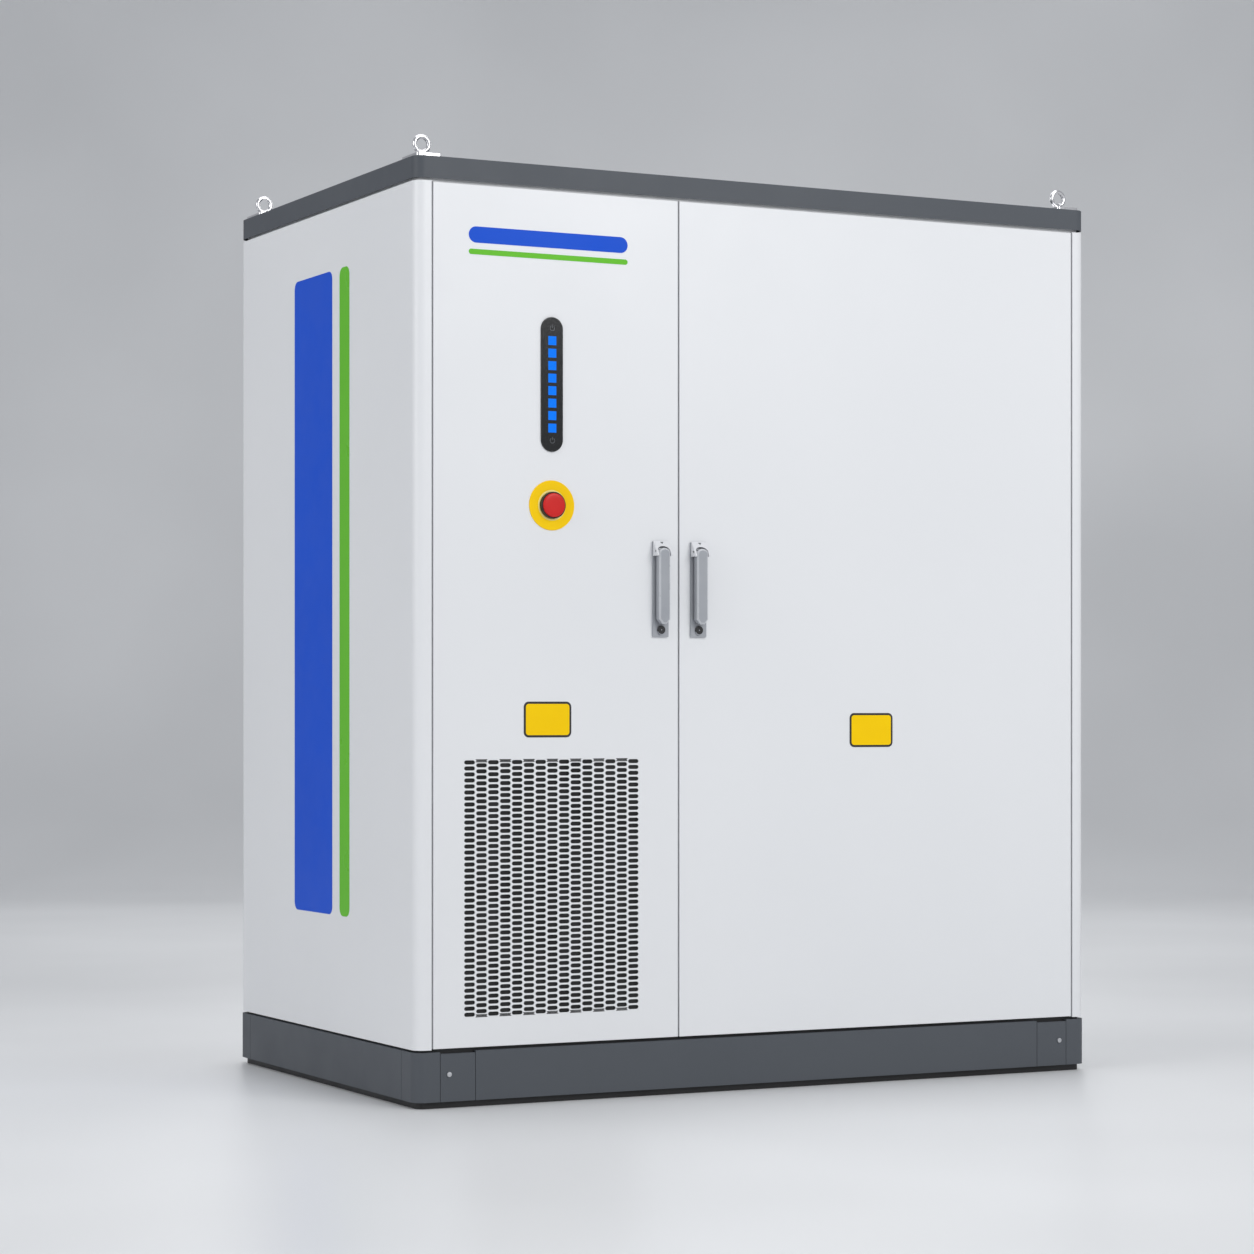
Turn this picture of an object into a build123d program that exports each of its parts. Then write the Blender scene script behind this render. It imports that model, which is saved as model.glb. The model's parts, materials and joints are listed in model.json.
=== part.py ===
from build123d import *
import math
import os

os.makedirs("parts", exist_ok=True)

# A floor-standing battery cabinet for outdoor energy storage, in millimetres.
# X runs across the doors, Y from the doors to the rear panel and Z up from the floor.
# The origin is on the floor at the centre of the cabinet's footprint.

# Overall size
width = 1780.0
depth = 1100.0
height = 2100.0
corner_radius = 25.0
sheet = 2.0
seat_gap = 0.3

# Steel base and its covers
base_height = 130.0
base_inset = 10.0
base_wall = 5.0
base_flange = 100.0
anchor_hole_radius = 9.0
anchor_inset_x = 80.0
anchor_inset_y = 85.0
cross_member_width = 70.0
plinth_bottom = 15.0
plinth_top = 125.0
plinth_proud = 2.0
plinth_sheet = 3.0
plinth_seam = 1.2
plinth_corner_front = 58.0
plinth_corner_side = 75.0
end_plate_width = 85.0
end_plate_drop = 4.0
screw_offset = 21.0
screw_head_radius = 5.5
screw_head_height = 3.0
screw_shank_radius = 3.0

# Frame: rounded corner posts, sill, top ring and mullion
post_face = 38.0
post_depth = 90.0
cap_height = 55.0
rebate_depth = 40.0
sill_height = 50.0
rear_post_face = 50.0
side_recess_start = 26.0
lip_sheet = 2.0
roof_gap = 6.0
roof_sheet = 2.0
ring_inset = 12.0
ring_width = 78.0
ring_wall = 4.0

# Cable glands in the floor
gland_pitch = 70.0
gland_thread_radius = 16.0
gland_bore_radius = 9.0
gland_flange_radius = 22.0

# Doors
door_gap = 4.0
door_end_gap = 2.0
left_door_width = 610.0
door_depth = 20.0
hinge_inset = 18.0
hinge_axis_depth = 10.0
hinge_pin_radius = 3.0
hinge_clearance = 0.05
hinge_knuckle_radius = 6.0
hinge_knuckle_height = 22.0
hinge_ear_height = 10.0
hinge_arm_reach = 23.0
hinge_arm_sheet = 5.0
hinge_end_distance = 220.0
seal_thickness = 8.0
seal_width = 12.0
lip_hinge_side = 53.0
lip_lock_side = 85.0
rail_width = 5.0
rail_depth = 17.0

# Intake grille, low on the left door
grille_left = 73.0
grille_width = 437.0
grille_bottom = 198.0
grille_height = 572.0
grille_flange = 3.5
slot_columns = 15
slot_rows = 21
slot_web_x = 2.5
slot_share = 0.66
filter_thickness = 12.0

# Status bar and emergency stop
panel_line = 289.0
bar_bottom = 1458.0
bar_height = 302.0
bar_width = 54.0
bar_proud = 4.0
bar_body_inset = 5.0
bar_body_depth = 24.0
light_count = 8
light_size = 20.0
light_pitch = 28.0
light_thickness = 1.5
stop_height = 1338.0
stop_plate_radius = 56.0
stop_plate_sheet = 2.0
stop_collar_radius = 30.0
stop_collar_height = 11.0
stop_barrel_radius = 11.0
stop_plunger_radius = 5.0
stop_plunger_clearance = 0.05
stop_button_radius = 27.0
stop_button_height = 17.0
stop_travel = 6.0
stop_block_size = 40.0
stop_block_depth = 48.0

# Swing handles and rod locks
handle_from_split = 49.0
handle_bottom = 1046.0
handle_height = 218.0
handle_width = 40.0
handle_plate_thickness = 5.0
head_height = 42.0
head_depth = 30.0
lever_width = 29.0
lever_thickness = 18.0
lever_clearance = 0.6
lever_foot_gap = 5.0
pin_radius = 2.5
foot_height = 24.0
lock_barrel_radius = 9.0
spindle_radius = 8.0
spindle_clearance = 0.06
pinion_radius = 12.4
rack_clearance = 0.35
rod_width = 10.0
rod_thickness = 6.0
rod_travel = 20.0
lock_case_width = 62.0
lock_case_height = 110.0
lock_case_sheet = 2.0
rod_end_gap = 24.0

# Roof and lifting points
pad_width = 60.0
pad_length = 90.0
pad_thickness = 8.0
eye_from_side = 40.0
eye_from_front = 60.0
eye_hole_radius = 12.5
eye_wire_radius = 5.0
eye_flange_radius = 13.0
eye_flange_height = 6.0
eye_shank_radius = 5.0
eye_shank_length = 26.0
eye_shank_clearance = 0.1

# Battery bay
module_rows = 6
module_columns = 2
module_height = 225.0
module_row_gap = 18.0
module_side_gap = 8.0
module_depth = 820.0
module_front = 130.0
rack_upright = 30.0
rack_sheet = 3.0
rack_rail_width = 30.0
hv_box_height = 180.0

# Control and cooling bay
cooling_front = 110.0
cooling_depth = 420.0
cooling_height = 640.0
shroud_thickness = 24.0
fan_radius = 125.0
fan_tip_gap = 4.0
fan_hub_radius = 42.0
fan_depth = 36.0
fan_blades = 5
fan_blade_pitch = 32.0
motor_radius = 36.0
motor_length = 40.0
control_plate_depth = 230.0
control_plate_sheet = 3.0
converter_height = 420.0
converter_depth = 300.0
bottle_radius = 60.0
bottle_height = 420.0

# Faces and levels that follow from the sizes above
frame_top = height - cap_height
left = -width / 2
right = width / 2
front = -depth / 2
rear = depth / 2
door_bottom = base_height + door_end_gap
door_top = frame_top - door_end_gap
door_height = door_top - door_bottom
left_door_start = left + post_face + door_gap
left_door_end = left_door_start + left_door_width
right_door_start = left_door_end + door_gap
right_door_end = right - post_face - door_gap
sill_top = base_height + sill_height
ring_bottom = frame_top - sill_height
rebate = front + rebate_depth
post_rear = front + post_depth
lip_front = front + sheet + seal_thickness + seat_gap
post_inner = left_door_start + lip_hinge_side + lip_sheet - left
mullion_left = left_door_end - lip_lock_side
mullion_right = right_door_start + lip_lock_side
bay_split = (left_door_end + right_door_start) / 2
panel_x = left_door_start + panel_line


def block(x0, x1, y0, y1, z0, z1):
    """A box between two corners."""
    centre = Pos((x0 + x1) / 2, (y0 + y1) / 2, (z0 + z1) / 2)
    return centre * Box(x1 - x0, y1 - y0, z1 - z0)


def upright_cylinder(x, y, z0, z1, radius):
    """A cylinder along Z."""
    return Pos(x, y, (z0 + z1) / 2) * Cylinder(radius, z1 - z0)


def cylinder_y(x, z, y0, y1, radius):
    """A cylinder along Y."""
    return Pos(x, (y0 + y1) / 2, z) * Rot(90, 0, 0) * Cylinder(radius, y1 - y0)


def cylinder_x(y, z, x0, x1, radius):
    """A cylinder along X."""
    return Pos((x0 + x1) / 2, y, z) * Rot(0, 90, 0) * Cylinder(radius, x1 - x0)


def rounded_slab(inset, z0, z1, radius):
    """The cabinet's footprint, inset on all sides, with rounded corners."""
    outline = RectangleRounded(width - 2 * inset, depth - 2 * inset, radius)
    return Pos(0, 0, z0) * extrude(outline, z1 - z0)


def mirrored(shape):
    """The same shape on the other side of the cabinet."""
    return mirror(shape, Plane.YZ)


def save(name, *shapes):
    """One node, as one solid or a group of separate solids."""
    solids = [solid for shape in shapes for solid in shape.solids()]
    node = solids[0] if len(solids) == 1 else Compound(children=solids)
    export_step(node, f"parts/{name}.step")


# Base ---------------------------------------------------------------------------------

def make_base_frame():
    """A welded ring of inward channels with two cross members and anchor holes."""
    radius = corner_radius - base_inset
    frame = rounded_slab(base_inset, 0, base_height, radius)
    web = base_inset + base_wall
    frame -= rounded_slab(web, base_wall, base_height - base_wall, radius - base_wall)
    flange = base_inset + base_flange
    frame -= rounded_slab(flange, 0, base_height, base_wall)
    for x in (bay_split, (bay_split + right) / 2):
        half = cross_member_width / 2
        y = rear - web
        tube = block(x - half, x + half, -y, y, 0, base_height)
        hollow = block(x - half + base_wall, x + half - base_wall, -y, y, base_wall, base_height - base_wall)
        frame += tube - hollow
    for sx in (-1, 1):
        for sy in (-1, 1):
            x = sx * (right - anchor_inset_x)
            y = sy * (rear - anchor_inset_y)
            frame -= upright_cylinder(x, y, 0, base_wall, anchor_hole_radius)
    for x, z in plinth_screw_places():
        for sy in (-1, 1):
            y = sy * (rear - base_inset)
            frame -= cylinder_y(x, z, y - base_wall, y + base_wall, screw_shank_radius + seat_gap)
    return frame


def plinth_screw_places():
    x = right - plinth_corner_front - screw_offset
    z = (plinth_bottom + plinth_top) / 2 + screw_head_radius
    return [(-x, z), (x, z)]


def plinth_ring(top):
    """The covers before they are cut: an angle section, its flange against the base."""
    outer = rounded_slab(-plinth_proud, plinth_bottom, top, corner_radius + plinth_proud)
    inner_inset = plinth_sheet - plinth_proud
    outer -= rounded_slab(inner_inset, plinth_bottom, top - plinth_sheet, corner_radius - inner_inset)
    outer -= rounded_slab(base_inset, plinth_bottom, top, corner_radius - base_inset)
    return outer


def make_plinth():
    reach = plinth_proud + base_inset
    ring = plinth_ring(plinth_top)
    x_corner = right - plinth_corner_front
    x_plate = x_corner - end_plate_width
    y_corner = rear - plinth_corner_side
    gap = plinth_seam / 2
    tall = (plinth_bottom, plinth_top)

    corners = []
    for sx in (-1, 1):
        for sy in (-1, 1):
            xs = sorted((sx * (x_corner + gap), sx * (right + reach)))
            ys = sorted((sy * (y_corner + gap), sy * (rear + reach)))
            corners.append(ring & block(*xs, *ys, *tall))

    panels = []
    for sy in (-1, 1):
        ys = sorted((sy * (rear - reach), sy * (rear + reach)))
        panels.append(ring & block(gap - x_plate, x_plate - gap, *ys, *tall))
    for sx in (-1, 1):
        xs = sorted((sx * (right - reach), sx * (right + reach)))
        panels.append(ring & block(*xs, gap - y_corner, y_corner - gap, *tall))

    low_ring = plinth_ring(plinth_top - end_plate_drop)
    plates = []
    for sx in (-1, 1):
        xs = sorted((sx * (x_plate + gap), sx * (x_corner - gap)))
        for sy in (-1, 1):
            ys = sorted((sy * (rear - reach), sy * (rear + reach)))
            plates.append(low_ring & block(*xs, *ys, *tall))

    screws = []
    for x, z in plinth_screw_places():
        for sy in (-1, 1):
            face = sy * (rear + plinth_proud)
            head_end = face + sy * screw_head_height
            tip = sy * (rear - base_inset - base_wall)
            head = cylinder_y(x, z, *sorted((face, head_end)), screw_head_radius)
            shank = cylinder_y(x, z, *sorted((face, tip)), screw_shank_radius)
            hole = cylinder_y(x, z, *sorted((face, tip)), screw_shank_radius + seat_gap)
            screws.append(head + shank)
            plates = [plate - hole for plate in plates]
    return corners, panels, plates, screws


# Frame --------------------------------------------------------------------------------

def tube_between(points, fillets, wall, z0, z1):
    """A hollow post from an outline, with some corners rounded."""
    outline = make_face(Polyline(*points, close=True))
    for point, radius in fillets:
        corner = outline.vertices().sort_by_distance(point)[0]
        outline = fillet(corner, radius)
    hollow = offset(outline, -wall, kind=Kind.INTERSECTION)
    return Pos(0, 0, z0) * extrude(outline - hollow, z1 - z0)


def make_front_post():
    """The left post: rounded outside corner, door rebate and the lip that meets the seal."""
    inner = left + post_inner
    points = [
        (left, front), (left + post_face, front), (left + post_face, rebate), (inner, rebate),
        (inner, post_rear), (left + sheet, post_rear), (left + sheet, front + side_recess_start),
        (left, front + side_recess_start),
    ]
    post = tube_between(points, [((left, front, 0), corner_radius)], sheet, base_height, frame_top)
    lip = block(inner - lip_sheet, inner, lip_front, rebate, sill_top, ring_bottom)
    return post + lip


def make_rear_post():
    inner = left + post_depth
    face = rear - rear_post_face
    points = [
        (left, rear), (left, face), (left + sheet, face), (left + sheet, rear - post_depth),
        (inner, rear - post_depth), (inner, rear - sheet), (left + rear_post_face, rear - sheet),
        (left + rear_post_face, rear),
    ]
    return tube_between(points, [((left, rear, 0), corner_radius)], sheet, base_height, frame_top)


def make_ring_tubes(z0, z1):
    """Four square tubes between the posts."""
    x = right - post_inner
    xr = right - post_depth
    y_side = (post_rear, rear - post_depth)
    runs = [
        (-x, x, rebate, post_rear, "x"),
        (-xr, xr, rear - post_depth, rear - sheet, "x"),
        (left + sheet, left + post_depth, *y_side, "y"),
        (right - post_depth, right - sheet, *y_side, "y"),
    ]
    frame = None
    for x0, x1, y0, y1, along in runs:
        tube = block(x0, x1, y0, y1, z0, z1)
        if along == "x":
            tube -= block(x0, x1, y0 + sheet, y1 - sheet, z0 + sheet, z1 - sheet)
        else:
            tube -= block(x0 + sheet, x1 - sheet, y0, y1, z0 + sheet, z1 - sheet)
        frame = tube if frame is None else frame + tube
    return frame


def horizontal_lips(z0):
    """The forward lips that meet the door seals along the sill or the top."""
    ends = [(left + post_inner - lip_sheet, mullion_left + lip_sheet),
            (mullion_right - lip_sheet, right - post_inner + lip_sheet)]
    lips = [block(x0, x1, lip_front, rebate, z0, z0 + lip_sheet) for x0, x1 in ends]
    return lips[0] + lips[1]


def make_sill_frame():
    return make_ring_tubes(base_height, sill_top) + horizontal_lips(sill_top - lip_sheet)


def make_top_frame():
    """The top tubes and, bolted above the posts, the raised ring that carries the roof."""
    frame = make_ring_tubes(ring_bottom, frame_top) + horizontal_lips(ring_bottom)
    under_roof = height - roof_sheet
    radius = corner_radius - ring_inset
    ring = rounded_slab(ring_inset, frame_top, under_roof, radius)
    inner = ring_inset + ring_width
    hollow_low = frame_top + ring_wall
    hollow_high = under_roof - ring_wall
    hollow = rounded_slab(ring_inset + ring_wall, hollow_low, hollow_high, radius - ring_wall)
    hollow -= rounded_slab(inner - ring_wall, hollow_low, hollow_high, ring_wall)
    ring -= hollow
    ring -= rounded_slab(inner, frame_top, under_roof, ring_wall)
    for x, y in eye_places():
        ring -= upright_cylinder(x, y, hollow_low, height, eye_shank_radius + eye_shank_clearance)
    return frame, ring


def make_mullion():
    """Two walls and a web behind the gap between the doors, with a lip for each door."""
    walls = block(mullion_left, mullion_left + lip_sheet, lip_front, post_rear, sill_top, ring_bottom)
    walls += block(mullion_right - lip_sheet, mullion_right, lip_front, post_rear, sill_top, ring_bottom)
    walls += block(mullion_left, mullion_right, rebate, rebate + lip_sheet, sill_top, ring_bottom)
    return walls


def make_partition():
    """The wall between the control bay and the battery bay, flanged at front and rear."""
    y0 = post_rear
    y1 = rear - post_depth
    wall = block(bay_split - sheet / 2, bay_split + sheet / 2, y0, y1, base_height + sheet, frame_top)
    foot = 30
    wall += block(bay_split - foot, bay_split + foot, y0, y0 + sheet, sill_top, ring_bottom)
    wall += block(bay_split - foot, bay_split + foot, y1 - sheet, y1, sill_top, ring_bottom)
    return wall


def gland_places():
    x_mid = (bay_split + right) / 2 - 3 * gland_pitch
    return [(x_mid + gland_pitch * (i - 1), rear - base_flange - base_inset - 55.0 - gland_pitch * j)
            for j in range(2) for i in range(2)]


def make_floor_pan():
    """The floor sheet on the base flange, with round holes for the cable glands."""
    margin = post_depth
    x = right - margin
    floor = block(-x, x, post_rear, rear - post_depth, base_height, base_height + sheet)
    for gx, gy in gland_places():
        floor -= upright_cylinder(gx, gy, 0, base_height + sheet, gland_thread_radius + seat_gap)
    return floor


def make_glands():
    """Screw glands: a nut under the floor, a threaded sleeve and a domed cap above."""
    top = base_height + sheet
    glands = []
    for x, y in gland_places():
        profile = make_face(Polyline(
            (gland_bore_radius, -14), (gland_flange_radius, -14), (gland_flange_radius, -sheet),
            (gland_thread_radius, -sheet), (gland_thread_radius, 0), (gland_flange_radius, 0),
            (gland_flange_radius, 12), (gland_flange_radius - 5, 26), (gland_bore_radius, 26),
            close=True))
        sleeve = revolve(Plane.XZ * profile, Axis.Z)
        glands.append(Pos(x, y, top) * sleeve)
    return glands


# Panels and roof ----------------------------------------------------------------------

def make_side_panel():
    y0 = front + side_recess_start
    y1 = rear - rear_post_face
    return block(left, left + sheet, y0, y1, base_height, frame_top)


def make_rear_panel():
    """The bolted rear panel, with pressed louvres that let out the warm air."""
    x = right - rear_post_face
    panel = block(-x, x, rear - sheet, rear, base_height, frame_top)
    louvre_width = 300.0
    louvre_pitch = 36.0
    for i in range(12):
        z = grille_bottom + 60 + louvre_pitch * i
        x0 = left + 200
        panel -= block(x0, x0 + louvre_width, rear - sheet, rear, z, z + 10)
        hood = block(x0, x0 + louvre_width, rear - sheet, rear + 8, z + 10, z + 12)
        hood += block(x0, x0 + louvre_width, rear + 8, rear + 10, z - 4, z + 12)
        panel += hood
    return panel


def make_roof_cap():
    """A shallow pan over the frame, with a shadow gap between it and the panels."""
    bottom = frame_top + roof_gap
    cap = rounded_slab(0, bottom, height, corner_radius)
    cap = fillet(cap.edges().group_by(Axis.Z)[-1], 1.5)
    cap -= rounded_slab(roof_sheet, bottom, height - roof_sheet, corner_radius - roof_sheet)
    for x, y in eye_places():
        cap -= upright_cylinder(x, y, bottom, height, eye_shank_radius + eye_shank_clearance)
    return cap


def eye_places():
    x = right - eye_from_side
    y = rear - eye_from_front
    return [(-x, -y), (x, -y), (-x, y), (x, y)]


def make_lifting_points():
    """A pad and a ring bolt at each corner, the ring's hole facing front."""
    pads = []
    eyes = []
    pad_top = height + pad_thickness
    ring_radius = eye_hole_radius + eye_wire_radius - 0.4
    ring_centre = eye_flange_height + ring_radius + eye_wire_radius - 2
    section = Pos(ring_radius, 0) * Circle(eye_wire_radius)
    ring = revolve(Plane.XZ * section, Axis.Z)
    ring = Rot(90, 0, 0) * ring
    ring -= cylinder_y(0, 0, -eye_wire_radius, eye_wire_radius, eye_hole_radius)
    eye = Pos(0, 0, ring_centre) * ring
    collar = Cone(eye_flange_radius, eye_wire_radius + 2, eye_flange_height)
    eye += Pos(0, 0, eye_flange_height / 2) * collar
    eye += upright_cylinder(0, 0, -eye_shank_length, 0, eye_shank_radius)
    for x, y in eye_places():
        pad = block(-pad_width / 2, pad_width / 2, -pad_length / 2, pad_length / 2, height, pad_top)
        pad = fillet(pad.edges().filter_by(Axis.Z), 6)
        pad -= upright_cylinder(0, 0, height, pad_top, eye_shank_radius + eye_shank_clearance)
        pads.append(Pos(x, y, 0) * pad)
        eyes.append(Pos(x, y, pad_top) * eye)
    return pads, eyes


# Doors --------------------------------------------------------------------------------

def door_pan(x0, x1):
    """A folded pan, open at the back."""
    pan = block(x0, x1, front, front + door_depth, door_bottom, door_top)
    pan = fillet(pan.edges().filter_by(Axis.X).group_by(Axis.Y)[0], 1.2)
    pan = fillet(pan.edges().filter_by(Axis.Z).group_by(Axis.Y)[0], 1.2)
    pan -= block(x0 + sheet, x1 - sheet, front + sheet, front + door_depth,
                 door_bottom + sheet, door_top - sheet)
    return pan


def stadium(width_x, height_z, y0, y1, x, z):
    """An upright bar with full round ends, along Y."""
    outline = SlotOverall(height_z, width_x, rotation=90)
    bar = extrude(Plane.XZ * outline, -(y1 - y0))
    return Pos(x, y0, z) * bar


def spindle_hole(x):
    return cylinder_y(x, spindle_z, front, front + sheet, spindle_radius + spindle_clearance)


def make_left_door_skin():
    pan = door_pan(left_door_start, left_door_end)
    x0 = left_door_start + grille_left
    z0 = grille_bottom
    pan -= block(x0, x0 + grille_width, front, front + sheet, z0, z0 + grille_height)
    body = bar_width - 2 * bar_body_inset
    pan -= stadium(body, bar_height - 2 * bar_body_inset, front, front + sheet, panel_x, bar_middle)
    pan -= cylinder_y(panel_x, stop_height, front, front + sheet, stop_barrel_radius + seat_gap)
    pan -= spindle_hole(left_handle_x)
    return pan


def make_right_door_skin():
    return door_pan(right_door_start, right_door_end) - spindle_hole(right_handle_x)


def door_seal(x0, x1):
    """A rubber frame on the back of the skin, where the lips of the frame meet it."""
    y0 = front + sheet
    y1 = y0 + seal_thickness
    z0 = sill_top - lip_sheet / 2
    z1 = ring_bottom + lip_sheet / 2
    half = seal_width / 2
    seal = block(x0 - half, x1 + half, y0, y1, z0 - half, z1 + half)
    seal -= block(x0 + half, x1 - half, y0, y1, z0 + half, z1 - half)
    return seal


def door_rails(x0, x1, cross_heights):
    """Two upright angles and several cross angles, welded to the back of the skin."""
    y0 = front + sheet
    y1 = y0 + rail_depth
    z0 = sill_top + seal_width
    z1 = ring_bottom - seal_width
    rails = block(x0, x0 + sheet, y0, y1, z0, z1) + block(x0, x0 + rail_width, y0, y0 + sheet, z0, z1)
    rails += block(x1 - sheet, x1, y0, y1, z0, z1) + block(x1 - rail_width, x1, y0, y0 + sheet, z0, z1)
    for z in cross_heights:
        rails += block(x0, x1, y0, y1, z, z + sheet) + block(x0, x1, y0, y0 + sheet, z, z + rail_width)
    return rails


def make_grille():
    """A plate punched with staggered slots, flush in the skin and flanged behind it.
    Each slot stands for a pair of the fine slots of the real plate."""
    x0 = left_door_start + grille_left
    z0 = grille_bottom
    fit = seat_gap
    plate = block(x0 + fit, x0 + grille_width - fit, front, front + sheet,
                  z0 + fit, z0 + grille_height - fit)
    plate += block(x0 - grille_flange, x0 + grille_width + grille_flange, front + sheet,
                   front + 2 * sheet, z0 - grille_flange, z0 + grille_height + grille_flange)
    column_pitch = grille_width / slot_columns
    row_pitch = (grille_height - 4) / slot_rows
    slot_height = row_pitch * slot_share
    cuts = []
    for column in range(slot_columns):
        xa = x0 + column * column_pitch + slot_web_x / 2
        xb = xa + column_pitch - slot_web_x
        shift = row_pitch / 2 if column % 2 else 0
        rows = slot_rows - 1 if column % 2 else slot_rows
        for row in range(rows):
            za = z0 + 2 + row * row_pitch + (row_pitch - slot_height) / 2 + shift
            cuts.append(block(xa, xb, front, front + 2 * sheet, za, za + slot_height))
    return plate - cuts


def make_filter():
    x0 = left_door_start + grille_left
    y0 = front + 2 * sheet
    return block(x0, x0 + grille_width, y0, y0 + filter_thickness, grille_bottom, grille_bottom + grille_height)


bar_middle = bar_bottom + bar_height / 2


def light_places():
    first = bar_middle - light_pitch * (light_count - 1) / 2
    return [first + light_pitch * i for i in range(light_count)]


def make_status_bar():
    """A stadium bezel in front of the skin, its lamp body behind, and eight square lights."""
    bezel = stadium(bar_width, bar_height, front - bar_proud, front, panel_x, bar_middle)
    bezel = fillet(bezel.edges().group_by(Axis.Y)[0], 1.5)
    inset = bar_body_inset + seat_gap
    bezel += stadium(bar_width - 2 * inset, bar_height - 2 * inset, front, front + bar_body_depth,
                     panel_x, bar_middle)
    half = light_size / 2
    lights = []
    for z in light_places():
        y0 = front - bar_proud
        pocket = block(panel_x - half, panel_x + half, y0, y0 + light_thickness, z - half, z + half)
        bezel -= pocket
        lights.append(pocket)
    return bezel, lights


def make_emergency_stop():
    """Yellow plate, collar with contact block, plunger and mushroom button."""
    x = panel_x
    z = stop_height
    plate_front = front - stop_plate_sheet
    collar_front = plate_front - stop_collar_height
    block_back = front + sheet + stop_block_depth
    bore = stop_plunger_radius + stop_plunger_clearance
    half = stop_block_size / 2

    plate = cylinder_y(x, z, plate_front, front, stop_plate_radius)
    plate = fillet(plate.edges().group_by(Axis.Y)[0], 0.8)
    plate -= cylinder_y(x, z, plate_front, front, stop_barrel_radius + seat_gap)

    body = cylinder_y(x, z, collar_front, plate_front, stop_collar_radius)
    body = chamfer(body.edges().group_by(Axis.Y)[0], 3)
    body += cylinder_y(x, z, collar_front, front + sheet, stop_barrel_radius)
    body += block(x - half, x + half, front + sheet, block_back, z - half, z + half)
    cavity_back = front + sheet + stop_block_depth - 6
    body -= cylinder_y(x, z, collar_front, cavity_back, bore)

    button_back = collar_front - stop_travel - 1.5
    button_front = button_back - stop_button_height
    plunger_front = button_back - 6
    plunger_back = cavity_back - stop_travel - 1
    plunger = cylinder_y(x, z, plunger_front, plunger_back, stop_plunger_radius)

    button = cylinder_y(x, z, button_front, button_back, stop_button_radius)
    button = fillet(button.edges().group_by(Axis.Y)[0], 6)
    button -= cylinder_y(x, z, plunger_front, button_back, bore)
    return plate, body, plunger, button


# Hinges -------------------------------------------------------------------------------

def hinge_heights():
    first = door_bottom + hinge_end_distance
    last = door_top - hinge_end_distance
    return [first, (first + last) / 2, last]


def make_left_hinges():
    """Concealed hinges: cranked arms on the post, forked brackets and pins on the door."""
    x = left_door_start + hinge_inset
    y = front + hinge_axis_depth
    skin_back = front + sheet
    bore = hinge_pin_radius + hinge_clearance
    half = hinge_knuckle_height / 2
    elbow = x + hinge_arm_reach
    arms = []
    brackets = []
    for z in hinge_heights():
        arm = upright_cylinder(x, y, z - half, z + half, hinge_knuckle_radius)
        web = hinge_arm_sheet / 2
        arm += block(x, elbow + hinge_arm_sheet, y - web, y + web, z - half, z + half)
        arm += block(elbow, elbow + hinge_arm_sheet, y - web, rebate, z - half, z + half)
        arm -= upright_cylinder(x, y, z - half, z + half, bore)
        arms.append(arm)

        ear = half + seat_gap
        outer = ear + hinge_ear_height
        reach = hinge_knuckle_radius
        fork = block(x - reach, x + reach, skin_back, y + reach - 1, z - outer, z + outer)
        fork -= block(x - reach, x + reach, skin_back + sheet, y + reach, z - ear, z + ear)
        fork -= block(x - reach, x + reach, skin_back + 1, skin_back + sheet, z - ear, z + ear)
        fork += upright_cylinder(x, y, z - outer, z + outer, hinge_pin_radius)
        brackets.append(fork)
    return arms, brackets


# Handles and locks --------------------------------------------------------------------

left_handle_x = left_door_end - handle_from_split + door_gap / 2
right_handle_x = right_door_start + handle_from_split - door_gap / 2
handle_top = handle_bottom + handle_height
spindle_z = handle_top - head_height / 2 - 2
plate_front = front - handle_plate_thickness
lever_back = plate_front - 4
pin_y = lever_back - lever_thickness / 2
lever_bottom = handle_bottom + foot_height + lever_foot_gap


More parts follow.
